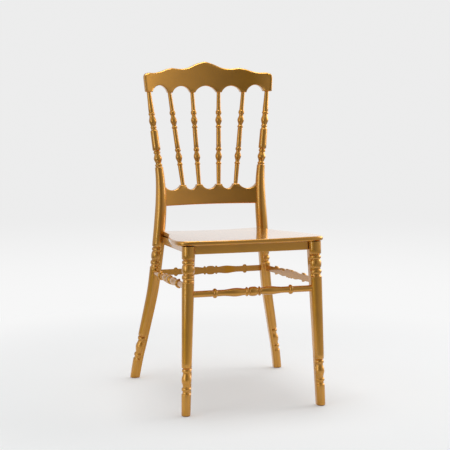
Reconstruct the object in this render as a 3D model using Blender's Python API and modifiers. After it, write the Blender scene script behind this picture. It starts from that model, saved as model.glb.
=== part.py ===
# Napoleon chair in gold moulded resin, as a knock-down assembly
# Metres, +Z up. The chair faces -Y, with X across it and the floor at z = 0.
# Every member ends in a tenon or a spigot that sits in a blind socket of its neighbour.

import math

import bmesh
import bpy
import numpy as np
from mathutils import Matrix, Vector

# Fits
clearance = 0.0003
socket_spare = 0.0010

# Stance of the front legs
leg_spread_front_foot = 0.1887
leg_spread_front_top = 0.1740
leg_y_front_foot = -0.2261
leg_y_front_top = -0.2036

# Seat panel, which slopes down to the back
seat_front_height = 0.4595
seat_front_y = -0.2255
seat_rear_y = 0.1930
seat_pitch = 0.0580
seat_thickness = 0.0135
seat_top_roll = 0.0045
seat_bottom_roll = 0.0022
seat_dish_rear = 0.0030
seat_dish_front = 0.0010
seat_dish_half_width = 0.1500

# Half width of the seat at each depth, from the back to the front corner
seat_half_widths = [
    (0.1930, 0.1500),
    (0.1500, 0.1510),
    (0.0500, 0.1625),
    (0.0000, 0.1735),
    (-0.0650, 0.1895),
    (-0.1300, 0.1990),
    (-0.1650, 0.2008),
    (-0.1880, 0.2000),
    (-0.2040, 0.1960),
    (-0.2150, 0.1870),
    (-0.2210, 0.1690),
    (-0.2236, 0.1300),
    (-0.2250, 0.0650),
]

# Centre line of a rear post below the seat: height, half spread across the chair, and y
post_line_below_seat = [
    (0.000, 0.2215, 0.2264),
    (0.060, 0.2126, 0.2184),
    (0.120, 0.2008, 0.2105),
    (0.180, 0.1892, 0.2029),
    (0.220, 0.1815, 0.1980),
    (0.260, 0.1745, 0.1933),
    (0.300, 0.1694, 0.1891),
    (0.350, 0.1644, 0.1847),
    (0.400, 0.1594, 0.1812),
]

# Above the seat: height over the seat top, half spread and y, all for the pattern height
post_pattern_height = 0.3960
post_line_above_seat = [
    (0.025, 0.1540, 0.1786),
    (0.085, 0.1503, 0.1791),
    (0.145, 0.1507, 0.1828),
    (0.195, 0.1549, 0.1868),
    (0.245, 0.1607, 0.1911),
    (0.295, 0.1662, 0.1952),
    (0.345, 0.1718, 0.1999),
    (0.399, 0.1774, 0.2054),
]

# Radii of the legs and posts, and the block that stays square toward the middle of the chair
front_leg_foot_radius = 0.0121
front_leg_taper = 0.0128
rear_post_foot_radius = 0.0132
rear_post_taper = 0.0088
groove_depth = 0.0032
square_share = 0.97
post_seat_y = 0.1800
post_block_rise = 0.0020
post_round_rise = 0.0125
post_seat_radius = 0.0170
post_shaft_radius = 0.0118
post_neck_radius = 0.0063

# Places of the turned motifs on the legs: over the floor, and below the underside of the seat
foot_motif_height = 0.0946
front_knee_drop = 0.0600
rear_knee_drop = 0.0565

# Spindles
spindle_top_radius = 0.0056
spindle_foot_radius = 0.0060
spindle_pin_depth = 0.0120
spindle_pattern_length = 0.2690
inner_spindle_foot = 0.0298
inner_spindle_top = 0.0400
outer_spindle_foot = 0.0799
outer_spindle_top = 0.1110

# Crest rail
crest_thickness = 0.0200
crest_edge_roll = 0.0030
crest_bottom_height = 0.8310
crest_arch_rise = 0.0188
crest_plan_y = 0.2402
crest_plan_bow = 1.16
crest_lean = 0.16
crest_cusp_half_width = 0.0075
crest_ear_inner_reach = 0.0098
crest_end_reach = 0.0160
crest_nose_reach = 0.0095
crest_nose_least = 0.20
post_spigot_depth = 0.0200

# Top edge of the crest rail: distance from the middle, and rise over its foot
crest_wave = [
    (0.0000, 0.0890),
    (0.0150, 0.0858),
    (0.0300, 0.0805),
    (0.0450, 0.0735),
    (0.0600, 0.0698),
    (0.0757, 0.0685),
    (0.0900, 0.0699),
    (0.1050, 0.0711),
    (0.1200, 0.0676),
    (0.1340, 0.0627),
    (0.1500, 0.0587),
    (0.1600, 0.0575),
]

# Its ends: distance in from the end, and rise over its foot, along the top and up the side
crest_shoulder = [
    (0.0175, 0.0580),
    (0.0080, 0.0572),
    (0.0045, 0.0563),
    (0.0020, 0.0545),
    (0.0000, 0.0500),
]
crest_side = [
    (0.0060, 0.0000),
    (0.0032, 0.0020),
    (0.0018, 0.0170),
    (0.0000, 0.0470),
]

# Lower back rail
rail_bottom_height = 0.5088
rail_valley_rise = 0.0439
rail_pedestal_rise = 0.0574
rail_thickness = 0.0180
rail_edge_roll = 0.0025
rail_plan_y = 0.1990
rail_plan_bow = 1.02
rail_lean = 0.10
rail_pedestal_half_width = 0.0085
rail_valley_end_inset = 0.0125
rail_end_inset = 0.0060
rail_tenon_depth = 0.0080
rail_tenon_root = 0.0060
rail_tenon_rise = 0.0230
rail_tenon_thickness = 0.0100
rail_tenon_height = 0.0260

# Aprons, measured in the sloping frame of the seat
apron_depth = 0.0225
apron_thickness = 0.0130
apron_bow = 0.0060
apron_setback = 0.0010
side_apron_rear_inset = 0.0065
side_apron_rear_gap = 0.0035
tenon_thickness = 0.0050
tenon_height = 0.0100
tenon_drop = 0.0080
tenon_depth = 0.0045
tenon_inset = 0.0075
rear_tenon_inset = 0.0095

# Corner brackets and their screws
bracket_gap = 0.0003
bracket_arm_thickness = 0.0100
bracket_arm_length = 0.0300
bracket_height = 0.0205
bracket_leg_gap = 0.0024
bracket_post_gap = 0.0048
screw_drop = 0.0115
screw_radius = 0.0020
screw_head_radius = 0.0040
screw_head_height = 0.0022
screw_grip_in_apron = 0.0080
screw_grip_in_seat = 0.0065
screw_facets = 8

# Stretchers
stretcher_end_radius = 0.0086
stretcher_bead_radius = 0.0128
stretcher_swell_radius = 0.0113
stretcher_barrel_radius = 0.0126
stretcher_bead_offset = 0.1050
stretcher_ring_offset = 0.0175
stretcher_flat_offset = 0.0015
stretcher_pin_depth = 0.0100
front_stretcher_height = 0.3185
rear_stretcher_height = 0.3145
side_stretcher_front_height = 0.3380
side_stretcher_rear_height = 0.3150

# Foot glides
glide_height = 0.0016
glide_radius = 0.0095
glide_stem_radius = 0.0025
glide_stem_length = 0.0120

# Facets around turned work
turned_facets = 12
spindle_facets = 12

# Colours
gold = (0.62, 0.37, 0.085)
steel_grey = (0.55, 0.55, 0.56)
glide_brown = (0.36, 0.24, 0.10)

for leftover in list(bpy.data.objects):
    bpy.data.objects.remove(leftover)

chair = bpy.data.collections.new("napoleon_chair")
tools = bpy.data.collections.new("cutters")
bpy.context.scene.collection.children.link(chair)
bpy.context.scene.collection.children.link(tools)


# Materials and object helpers

def make_material(name, colour, metallic, roughness, coat):
    material = bpy.data.materials.new(name)
    material.use_nodes = True
    shader = material.node_tree.nodes["Principled BSDF"]
    shader.inputs["Base Color"].default_value = (*colour, 1.0)
    shader.inputs["Metallic"].default_value = metallic
    shader.inputs["Roughness"].default_value = roughness
    shader.inputs["Coat Weight"].default_value = coat
    return material


def gold_resin(part_name):
    return make_material("gold_resin_" + part_name, gold, 0.85, 0.16, 0.6)


def steel(part_name):
    return make_material("steel_" + part_name, steel_grey, 1.0, 0.35, 0.0)


def glide_plastic(part_name):
    return make_material("glide_plastic_" + part_name, glide_brown, 0.0, 0.5, 0.0)


def object_from_bmesh(name, bm, material=None):
    """Close a bmesh into an object, in the chair if it has a material and among the cutters if not."""
    bmesh.ops.recalc_face_normals(bm, faces=bm.faces)
    mesh = bpy.data.meshes.new(name)
    bm.to_mesh(mesh)
    bm.free()
    thing = bpy.data.objects.new(name, mesh)
    if material is None:
        tools.objects.link(thing)
        thing.hide_render = True
        thing.display_type = "WIRE"
    else:
        chair.objects.link(thing)
        mesh.materials.append(material)
    return thing


def boolean(target, tool, operation="DIFFERENCE"):
    step = target.modifiers.new(operation.lower() + "_" + tool.name, "BOOLEAN")
    step.operation = operation
    step.solver = "EXACT"
    step.object = tool


def loft(name, rings, material=None):
    """Skin equal-count sections and cap both ends, all split alike so that an envelope follows its part."""
    bm = bmesh.new()
    loops = []
    for ring in rings:
        loops.append([bm.verts.new(point) for point in ring])
    count = len(loops[0])
    for lower, upper in zip(loops, loops[1:]):
        for index in range(count):
            after = (index + 1) % count
            bm.faces.new((lower[index], lower[after], upper[after], upper[index]))
    bmesh.ops.triangulate(bm, faces=bm.faces[:], quad_method="FIXED")
    bm.faces.new(list(reversed(loops[0])))
    bm.faces.new(loops[-1])
    return object_from_bmesh(name, bm, material)


def box(name, size, centre, turn, material=None):
    bm = bmesh.new()
    bmesh.ops.create_cube(bm, size=1.0)
    bmesh.ops.scale(bm, vec=Vector(size), verts=bm.verts)
    bmesh.ops.transform(bm, matrix=Matrix.Translation(centre) @ turn.to_4x4(), verts=bm.verts)
    return object_from_bmesh(name, bm, material)


def rod(name, start, end, radius, facets, material=None):
    """A plain cylinder between two points."""
    start = Vector(start)
    end = Vector(end)
    axis = end - start
    turn = axis.to_track_quat("Z", "Y").to_matrix()
    bm = bmesh.new()
    bmesh.ops.create_cone(
        bm, cap_ends=True, segments=facets, radius1=radius, radius2=radius, depth=axis.length
    )
    middle = Matrix.Translation((start + end) / 2.0)
    bmesh.ops.transform(bm, matrix=middle @ turn.to_4x4(), verts=bm.verts)
    return object_from_bmesh(name, bm, material)


def turned(name, profile, start, end, facets, material=None):
    """A turned member: its profile is spun by a Screw modifier about the line from start to end."""
    start = Vector(start)
    end = Vector(end)
    bm = bmesh.new()
    points = [(0.0, profile[0][0])]
    points += [(radius, distance) for distance, radius in profile]
    points += [(0.0, profile[-1][0])]
    verts = [bm.verts.new((radius, 0.0, distance)) for radius, distance in reversed(points)]
    for lower, upper in zip(verts, verts[1:]):
        bm.edges.new((lower, upper))
    mesh = bpy.data.meshes.new(name)
    bm.to_mesh(mesh)
    bm.free()
    thing = bpy.data.objects.new(name, mesh)
    spin = thing.modifiers.new("turning", "SCREW")
    spin.steps = facets
    spin.render_steps = facets
    spin.use_merge_vertices = True
    spin.merge_threshold = 0.00005
    thing.rotation_mode = "QUATERNION"
    thing.rotation_quaternion = (end - start).to_track_quat("Z", "Y")
    thing.location = start
    if material is None:
        tools.objects.link(thing)
        thing.hide_render = True
        thing.display_type = "WIRE"
    else:
        chair.objects.link(thing)
        mesh.materials.append(material)
    return thing


# Turned profiles, as (distance along the axis, radius)

def swell(centre, half_length, base, peak, steps=3):
    """A bead or a ball: half an ellipse that rises from the base radius to the peak radius."""
    points = []
    for step in range(steps + 1):
        angle = math.pi * step / steps
        distance = centre - half_length * math.cos(angle)
        points.append((distance, base + (peak - base) * math.sin(angle)))
    return points


def leg_radius(height, foot_radius, taper):
    return foot_radius + taper * height


def foot_motif(foot_radius, taper):
    """Foot, bead, vase and bead at the bottom of each leg, up to the start of the plain length."""
    low = glide_height + clearance
    centre = foot_motif_height
    base = leg_radius(centre, foot_radius, taper) - groove_depth
    profile = [
        (low, leg_radius(0.0, foot_radius, taper) - 0.0005),
        (low + 0.0012, leg_radius(0.0, foot_radius, taper)),
        (low + 0.0110, leg_radius(0.0, foot_radius, taper) + 0.0002),
        (centre - 0.0385, base + groove_depth - 0.0004),
        (centre - 0.0360, base + 0.0012),
    ]
    profile += swell(centre - 0.0335, 0.0015, base + 0.0009, base + 0.0020, 2)
    profile += swell(centre - 0.0245, 0.0050, base, base + 0.0018)
    profile += swell(centre, 0.0150, base + 0.0002, base + 0.0031, 5)
    profile += swell(centre + 0.0245, 0.0050, base, base + 0.0019)
    profile.append((centre + 0.0322, base + groove_depth + 0.0002))
    return profile


def knee_motif(centre, foot_radius, taper):
    """Ring, bead, ball and bead below the seat block."""
    full = leg_radius(centre, foot_radius, taper)
    base = full - groove_depth
    profile = [(centre - 0.0357, leg_radius(centre - 0.0357, foot_radius, taper))]
    profile += swell(centre - 0.0320, 0.0019, base + 0.0011, base + 0.0020, 2)
    profile += swell(centre - 0.0212, 0.0055, base, base + 0.0021)
    profile += swell(centre, 0.0100, base + 0.0001, base + 0.0027, 4)
    profile += swell(centre + 0.0177, 0.0050, base, base + 0.0023)
    profile.append((centre + 0.0271, full + 0.0003))
    return profile


def front_leg_profile(top_height):
    knee_height = seat_underside_height(leg_y_front_top) - front_knee_drop
    profile = foot_motif(front_leg_foot_radius, front_leg_taper)
    profile += knee_motif(knee_height, front_leg_foot_radius, front_leg_taper)
    profile.append((top_height, leg_radius(top_height, front_leg_foot_radius, front_leg_taper)))
    return profile


def rear_post_profile_below_seat():
    knee_height = post_seat_height - rear_knee_drop
    block_top = post_seat_height + post_block_rise
    profile = foot_motif(rear_post_foot_radius, rear_post_taper)
    profile += knee_motif(knee_height, rear_post_foot_radius, rear_post_taper)
    profile.append((block_top, leg_radius(block_top, rear_post_foot_radius, rear_post_taper)))
    return profile


def rear_post_profile_above_seat():
    """Plain shaft up from the seat, then ball, long cylinder, ball, bead and slim neck."""
    pattern = [
        (0.0000, post_seat_radius),
        (0.0500, post_seat_radius - 0.0002),
        (0.0950, post_seat_radius - 0.0013),
        (0.1400, post_seat_radius - 0.0033),
        (0.1770, post_shaft_radius + 0.0003),
        (0.1865, post_shaft_radius),
    ]
    pattern += swell(0.1935, 0.0035, 0.0102, 0.0087, 2)
    pattern += swell(0.2095, 0.0110, 0.0087, 0.0117, 4)
    pattern += swell(0.2270, 0.0040, 0.0082, 0.0094)
    pattern += [
        (0.2340, 0.0086),
        (0.2358, 0.0115),
        (0.2890, 0.0109),
        (0.2910, 0.0084),
        (0.2960, 0.0079),
    ]
    pattern += swell(0.3165, 0.0120, 0.0079, 0.0106, 4)
    pattern += swell(0.3370, 0.0045, 0.0076, 0.0090)
    pattern += [
        (0.3460, 0.0081),
        (0.3680, 0.0073),
        (0.3945, post_neck_radius),
    ]
    profile = [(post_round_start + rise * post_stretch, radius) for rise, radius in pattern]
    profile.append((crest_bottom_height + post_spigot_depth, post_neck_radius))
    return profile


def spindle_profile(length):
    """Distances run from the top of the pedestal to the cusp, and the ends run on as pins."""
    pattern = [(0.0000, spindle_foot_radius), (0.0540, spindle_foot_radius + 0.0008)]
    pattern += swell(0.0600, 0.0036, 0.0064, 0.0079)
    pattern += swell(0.0812, 0.0122, 0.0060, 0.0095, 4)
    pattern += swell(0.1022, 0.0050, 0.0062, 0.0081)
    pattern += [(0.1085, 0.0071), (0.1620, 0.0070)]
    pattern += swell(0.1682, 0.0042, 0.0062, 0.0081)
    pattern += swell(0.1873, 0.0118, 0.0060, 0.0095, 4)
    pattern += swell(0.2092, 0.0052, 0.0062, 0.0081)
    pattern += [(0.2180, 0.0064), (spindle_pattern_length, spindle_top_radius)]
    stretch = length / spindle_pattern_length
    profile = [(distance * stretch, radius) for distance, radius in pattern]
    foot_pin = [(-spindle_pin_depth, spindle_foot_radius)]
    return foot_pin + profile + [(length + spindle_pin_depth, spindle_top_radius)]


def stretcher_profile(length):
    """Plain end, bead, long swelling, ring, barrel and the same again, mirrored about the middle."""
    end = stretcher_end_radius
    half = [(0.0, stretcher_barrel_radius), (0.0050, stretcher_barrel_radius - 0.0002)]
    half += [(0.0100, stretcher_barrel_radius - 0.0012), (0.0125, end + 0.0010)]
    half += swell(stretcher_ring_offset, 0.0028, end + 0.0010, end + 0.0036)
    half += swell(0.0480, 0.0250, end + 0.0010, stretcher_swell_radius, 6)
    half += [(0.0800, end - 0.0002), (0.0950, end)]
    half += swell(stretcher_bead_offset, 0.0055, end, stretcher_bead_radius)
    half += [(0.1180, end + 0.0001), (length / 2.0, end)]
    lower = [(-distance, radius) for distance, radius in reversed(half[1:])]
    return lower + half


# Sections of the legs: a is across toward the middle of the chair, b is along toward its middle

def leg_section(ring_radius, plain_radius, arc_start, arc_end, faint_angles, square_start):
    """Turned arc round the outside, a fainter stretch, and the square corner toward the chair's middle."""
    points = []
    arc_steps = 11 - len(faint_angles)
    for step in range(arc_steps + 1):
        angle = math.radians(arc_start + (arc_end - arc_start) * step / arc_steps)
        points.append((ring_radius * math.cos(angle), ring_radius * math.sin(angle)))
    faint_radius = (ring_radius + plain_radius) / 2.0
    for degrees in faint_angles:
        angle = math.radians(degrees)
        points.append((faint_radius * math.cos(angle), faint_radius * math.sin(angle)))
    side = plain_radius * square_share
    points.append((side, square_start * side))
    points.append((side, 0.84 * side))
    points.append((0.84 * side, side))
    points.append((0.50 * side, side))
    return points


def front_section(ring_radius, plain_radius):
    return leg_section(ring_radius, plain_radius, 90.0, 346.0, (), -0.20)


def rear_section(ring_radius, plain_radius):
    return leg_section(ring_radius, plain_radius, 66.0, 330.0, (), -0.25)


def round_section(ring_radius):
    """The same count of points as the other sections, for the round upper post."""
    angles = [66.0 + 24.0 * step for step in range(12)]
    angles += [349.0, 368.0, 387.0, 406.0]
    points = []
    for degrees in angles:
        angle = math.radians(degrees)
        points.append((ring_radius * math.cos(angle), ring_radius * math.sin(angle)))
    return points


def place_section(section, centre, direction, side, toward_middle):
    """Put a section square to the direction, with a toward the chair's middle plane."""
    normal = direction.normalized()
    across = Vector((-side, 0.0, 0.0))
    across = (across - normal * across.dot(normal)).normalized()
    along = Vector((0.0, toward_middle, 0.0))
    along = along - normal * along.dot(normal) - across * along.dot(across)
    along = along.normalized()
    return [centre + across * a + along * b for a, b in section]


def settled_direction(direction, height):
    """The foot is cut level with the floor, and the sections turn square to the leg above it."""
    share = min(1.0, max(0.0, (height - glide_height - clearance) / 0.03))
    return Vector((0.0, 0.0, 1.0)).lerp(direction.normalized(), share)


# The sloping frame of the seat: its plane z = 0 is the underside of the panel

def seat_underside_height(depth):
    return seat_front_height - seat_thickness + seat_pitch * (seat_front_y - depth)


seat_turn = Matrix.Rotation(-math.atan(seat_pitch), 3, "X")
seat_origin = Vector((0.0, 0.0, seat_underside_height(0.0)))


def in_seat_frame(x, y, z):
    return seat_origin + seat_turn @ Vector((x, y, z))


def seat_frame_matrix():
    return Matrix.Translation(seat_origin) @ seat_turn.to_4x4()


# Centre lines

def front_leg_axis(side, height):
    top = seat_underside_height(leg_y_front_top)
    share = height / top
    spread = leg_spread_front_foot + (leg_spread_front_top - leg_spread_front_foot) * share
    depth = leg_y_front_foot + (leg_y_front_top - leg_y_front_foot) * share
    return Vector((side * spread, depth, height))


post_seat_height = seat_underside_height(post_seat_y)
post_round_start = post_seat_height + post_round_rise
post_stretch = (crest_bottom_height - post_round_start) / post_pattern_height
post_rows = list(post_line_below_seat)
for rise, spread, depth in post_line_above_seat:
    post_rows.append((post_round_start + rise * post_stretch, spread, depth))
post_heights = [row[0] for row in post_rows]


def post_value(height, column):
    """A smooth curve through the rows of the post line, at a height."""
    index = min(max(int(np.searchsorted(post_heights, height)) - 1, 0), len(post_rows) - 2)
    start, end = post_rows[index], post_rows[index + 1]
    width = end[0] - start[0]
    share = (height - start[0]) / width
    square = share * share
    cube = square * share
    start_slope = post_slope(index, column) * width
    end_slope = post_slope(index + 1, column) * width
    return (
        (2.0 * cube - 3.0 * square + 1.0) * start[column]
        + (cube - 2.0 * square + share) * start_slope
        + (3.0 * square - 2.0 * cube) * end[column]
        + (cube - square) * end_slope
    )


def post_slope(index, column):
    before = post_rows[max(index - 1, 0)]
    after = post_rows[min(index + 1, len(post_rows) - 1)]
    return (after[column] - before[column]) / (after[0] - before[0])


def rear_post_axis(side, height):
    return Vector((side * post_value(height, 1), post_value(height, 2), height))


def rear_post_direction(side, height):
    return rear_post_axis(side, height + 0.005) - rear_post_axis(side, height - 0.005)


# Legs and posts

def make_front_leg(name, side, growth=0.0, material=None):
    """The top runs past the seat and is cut to it; growth makes the envelope that cuts the aprons."""
    top_height = seat_underside_height(leg_y_front_top) + 0.012
    direction = front_leg_axis(side, 0.4) - front_leg_axis(side, 0.0)
    rings = []
    for height, radius in front_leg_profile(top_height):
        plain = leg_radius(height, front_leg_foot_radius, front_leg_taper) + growth
        section = front_section(radius + growth, plain)
        tilt = settled_direction(direction, height)
        rings.append(place_section(section, front_leg_axis(side, height), tilt, side, 1.0))
    return loft(name, rings, material)


def make_rear_post(name, side, growth=0.0, material=None):
    rings = []
    for height, radius in rear_post_profile_below_seat():
        plain = leg_radius(height, rear_post_foot_radius, rear_post_taper) + growth
        section = rear_section(radius + growth, plain)
        tilt = settled_direction(rear_post_direction(side, height), height)
        rings.append(place_section(section, rear_post_axis(side, height), tilt, side, -1.0))
    for height, radius in rear_post_profile_above_seat():
        section = round_section(radius + growth)
        tilt = rear_post_direction(side, height)
        rings.append(place_section(section, rear_post_axis(side, height), tilt, side, -1.0))
    return loft(name, rings, material)


# Crest rail and lower back rail

def crest_y(x, height):
    return crest_plan_y - crest_plan_bow * x * x + crest_lean * (height - crest_bottom_height)


def rail_y(x, height):
    return rail_plan_y - rail_plan_bow * x * x + rail_lean * (height - rail_bottom_height)


def board_section(x, low, high, thickness, roll, middle_y, bow):
    """A cross-section of a bowed board at x, with its four long edges eased."""
    half = thickness / 2.0 / math.cos(math.atan(2.0 * bow * x))
    ease = min(roll, (high - low) * 0.3, half * 0.6)
    corners = [
        (-half, low + ease),
        (ease - half, low),
        (half - ease, low),
        (half, low + ease),
        (half, high - ease),
        (half - ease, high),
        (ease - half, high),
        (-half, high - ease),
    ]
    return [Vector((x, middle_y(x, height) + offset, height)) for offset, height in corners]


def arch(start, end, foot, rise, steps=8):
    """Stations along a circle's arc that springs from the foot height, or hangs from it below 0."""
    centre = (start + end) / 2.0
    half = (end - start) / 2.0
    radius = (half * half + rise * rise) / (2.0 * abs(rise))
    reach = math.asin(half / radius)
    stations = []
    for step in range(steps + 1):
        angle = reach * (2.0 * step / steps - 1.0)
        height = abs(rise) - radius * (1.0 - math.cos(angle))
        stations.append((centre + radius * math.sin(angle), foot + math.copysign(height, rise)))
    return stations


def mirrored_line(right_half):
    """The whole line from its right half, which starts at or just past x = 0."""
    left_half = [(-x, value) for x, value in reversed(right_half) if x > 1e-6]
    return left_half + right_half


def interpolate(line, x):
    return float(np.interp(x, [row[0] for row in line], [row[1] for row in line]))


def shared_stations(*lines):
    """Every x of the lines once, leaving out those that almost repeat the one before."""
    stations = []
    for x in sorted(x for line in lines for x, value in line):
        if not stations or x - stations[-1] > 0.0009:
            stations.append(x)
    return stations


def crest_end():
    return rear_post_axis(1, crest_bottom_height).x + crest_end_reach


def crest_underside():
    """Heights of the underside: arches, cusps over the spindles and an ear over each post."""
    cusp = crest_cusp_half_width
    foot = crest_bottom_height
    rise = crest_arch_rise
    inner_edge = inner_spindle_top - cusp
    post_x_at_foot = rear_post_axis(1, foot).x
    ear_inner = post_x_at_foot - crest_ear_inner_reach
    end = crest_end()
    middle_arch = arch(-inner_edge, inner_edge, foot, rise)
    right = [(max(x, 0.0), height) for x, height in middle_arch if x > -1e-6]
    right += arch(inner_spindle_top + cusp, outer_spindle_top - cusp, foot, rise)
    right += arch(outer_spindle_top + cusp, ear_inner, foot, rise)
    right += [(end - distance, foot + rise) for distance, rise in crest_side]
    return mirrored_line(right)


def crest_top():
    foot = crest_bottom_height
    end = crest_end()
    right = [(x, foot + rise) for x, rise in crest_wave]
    right += [(end - distance, foot + rise) for distance, rise in crest_shoulder]
    return mirrored_line(right)


def crest_nose(x):
    """Share of the full thickness, which falls away at the ends like the nose of a cushion."""
    inside = min(1.0, (crest_end() - abs(x)) / crest_nose_reach)
    return max(crest_nose_least, math.sqrt(1.0 - (1.0 - inside) ** 2))


def make_crest_rail():
    top = crest_top()
    underside = crest_underside()
    rings = []
    for x in shared_stations(top, underside):
        low = interpolate(underside, x)
        high = interpolate(top, x)
        thickness = crest_thickness * crest_nose(x)
        rings.append(board_section(x, low, high, thickness, crest_edge_roll, crest_y, crest_plan_bow))
    return loft("crest_rail", rings, gold_resin("crest_rail"))


def lower_rail_top():
    """Pedestals under the spindles with hollow valleys between them; the ends stop inside the posts."""
    foot = rail_bottom_height + rail_pedestal_rise
    depth = rail_pedestal_rise - rail_valley_rise
    pedestal = rail_pedestal_half_width
    post_x_at_rail = rear_post_axis(1, foot).x
    middle_valley = arch(pedestal - inner_spindle_foot, inner_spindle_foot - pedestal, foot, -depth)
    right = [(max(x, 0.0), height) for x, height in middle_valley if x > -1e-6]
    right += arch(inner_spindle_foot + pedestal, outer_spindle_foot - pedestal, foot, -depth)
    right += arch(outer_spindle_foot + pedestal, post_x_at_rail - rail_valley_end_inset, foot, -depth)
    right.append((post_x_at_rail - rail_end_inset, foot))
    return mirrored_line(right)


def make_lower_rail():
    top = lower_rail_top()
    rings = []
    for x in shared_stations(top):
        high = interpolate(top, x)
        ring = board_section(x, rail_bottom_height, high, rail_thickness, rail_edge_roll, rail_y, rail_plan_bow)
        rings.append(ring)
    return loft("lower_back_rail", rings, gold_resin("lower_back_rail"))


# Tenons: the same call makes a tenon to join on and, grown by the clearance, its socket

def tenon(name, root, outward, up, length, thickness, height, growth=0.0):
    outward = outward.normalized()
    across = up.cross(outward).normalized()
    up = outward.cross(across)
    turn = Matrix((outward, across, up)).transposed()
    length += socket_spare if growth else 0.0
    size = (length, thickness + 2.0 * growth, height + 2.0 * growth)
    return box(name, size, root + outward * (length / 2.0), turn)


def join_tenon(board, host, root, outward, up, length, thickness, height):
    """Join a tenon to the board and cut its socket in the host."""
    label = board.name + "_to_" + host.name
    boolean(board, tenon(label + "_tenon", root, outward, up, length, thickness, height), "UNION")
    boolean(host, tenon(label + "_socket", root, outward, up, length, thickness, height, clearance))


def side_name(side):
    return "left" if side < 0 else "right"


# Boards of the seat frame, in the sloping frame of the seat

def seat_frame_y(point):
    return (seat_turn.transposed() @ (point - seat_origin)).y


front_leg_seat_point = front_leg_axis(1, seat_underside_height(leg_y_front_top))
rear_post_seat_point = rear_post_axis(1, post_seat_height)
leg_x = front_leg_seat_point.x
leg_y = seat_frame_y(front_leg_seat_point)
post_x = rear_post_seat_point.x
post_y = seat_frame_y(rear_post_seat_point)
leg_face = leg_radius(front_leg_seat_point.z, front_leg_foot_radius, front_leg_taper) * square_share
post_face = leg_radius(post_seat_height, rear_post_foot_radius, rear_post_taper) * square_share


def front_apron_y(x, inset):
    """The front apron bows forward between the legs; inset runs in from its outer face."""
    return leg_y + apron_setback - apron_bow * (1.0 - (x / leg_x) ** 2) + inset


def side_apron_outward(side):
    run = Vector((post_x - side_apron_rear_inset - leg_x + apron_setback, post_y - leg_y, 0.0))
    return Vector((side * run.y, -run.x, 0.0)).normalized()


def side_apron_point(side, y, inset):
    """A point on the side apron's outer face at depth y, moved in by the inset."""
    share = (y - leg_y) / (post_y - leg_y)
    front = leg_x - apron_setback
    rear = post_x - side_apron_rear_inset
    point = Vector((side * (front + (rear - front) * share), y, 0.0))
    return point - side_apron_outward(side) * inset


def rear_apron_y(inset):
    return post_y + apron_thickness / 2.0 - inset


def plan_board(name, outer_points, inner_points):
    """A board of the seat frame from matching points along its outer and inner faces."""
    rings = []
    for outer, inner in zip(outer_points, inner_points):
        ring = []
        for x, y, z in (
            (outer.x, outer.y, -clearance),
            (inner.x, inner.y, -clearance),
            (inner.x, inner.y, -apron_depth),
            (outer.x, outer.y, -apron_depth),
        ):
            ring.append(in_seat_frame(x, y, z))
        rings.append(ring)
    return loft(name, rings, gold_resin(name))


def make_front_apron():
    steps = 10
    xs = [leg_x * (2.0 * step / steps - 1.0) for step in range(steps + 1)]
    outer = [Vector((x, front_apron_y(x, 0.0), 0.0)) for x in xs]
    inner = [Vector((x, front_apron_y(x, apron_thickness), 0.0)) for x in xs]
    return plan_board("front_apron", outer, inner)


def make_rear_apron():
    ends = (-post_x, post_x)
    outer = [Vector((x, rear_apron_y(0.0), 0.0)) for x in ends]
    inner = [Vector((x, rear_apron_y(apron_thickness), 0.0)) for x in ends]
    return plan_board("rear_apron", outer, inner)


def make_side_apron(side):
    front_end = leg_y + apron_setback + apron_thickness + clearance
    ends = (front_end, rear_apron_y(apron_thickness) - side_apron_rear_gap)
    outer = [side_apron_point(side, y, 0.0) for y in ends]
    inner = [side_apron_point(side, y, apron_thickness) for y in ends]
    return plan_board(side_name(side) + "_apron", outer, inner)


def apron_tenon(apron, host, x, y, outward, reach):
    """A tenon whose root lies inside the apron and whose tip reaches into the leg or post."""
    root = in_seat_frame(x, y, -tenon_drop) - seat_turn @ outward * (reach + 0.0060)
    up = seat_turn @ Vector((0.0, 0.0, 1.0))
    length = 0.0060 + tenon_depth
    join_tenon(apron, host, root, seat_turn @ outward, up, length, tenon_thickness, tenon_height)


# Seat panel

def smooth_half_outline():
    """The right edge of the seat from back to front, rounded through the named half widths."""
    rows = [Vector((width, y, 0.0)) for y, width in seat_half_widths]
    rows.append(Vector((0.0, seat_front_y, 0.0)))
    mirrored = Vector((-rows[-2].x, rows[-2].y, 0.0))
    guides = [rows[0] * 2.0 - rows[1]] + rows + [mirrored]
    points = []
    for index in range(1, len(guides) - 2):
        before, start, end, after = guides[index - 1:index + 3]
        for share in (0.0, 0.5):
            points.append(catmull_rom(before, start, end, after, share))
    return points


def catmull_rom(before, start, end, after, share):
    square = share * share
    cube = square * share
    return (
        before * (-0.5 * cube + square - 0.5 * share)
        + start * (1.5 * cube - 2.5 * square + 1.0)
        + end * (-1.5 * cube + 2.0 * square + 0.5 * share)
        + after * (0.5 * cube - 0.5 * square)
    )


def seat_outline():
    right = smooth_half_outline()
    left = [Vector((-point.x, point.y, 0.0)) for point in reversed(right)]
    front = Vector((0.0, seat_front_y, 0.0))
    return right + [front] + left


def moved_in(outline, inset):
    """Shift each point of the outline in by the inset, square to its neighbours."""
    moved = []
    count = len(outline)
    for index, point in enumerate(outline):
        before = point - outline[index - 1]
        after = outline[(index + 1) % count] - point
        normal_before = Vector((before.y, -before.x, 0.0)).normalized()
        normal_after = Vector((after.y, -after.x, 0.0)).normalized()
        normal = (normal_before + normal_after).normalized()
        stretch = max(0.5, normal.dot(normal_before))
        moved.append(point + normal * (inset / stretch))
    return moved


def seat_dish(point):
    """How far the top lies below its plane: a shallow hollow that deepens to the back."""
    across = 1.0 - (point.x / seat_dish_half_width) ** 2
    back = (point.y - seat_front_y) / (seat_rear_y - seat_front_y)
    return max(0.0, across) * (seat_dish_front + (seat_dish_rear - seat_dish_front) * back)


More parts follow.
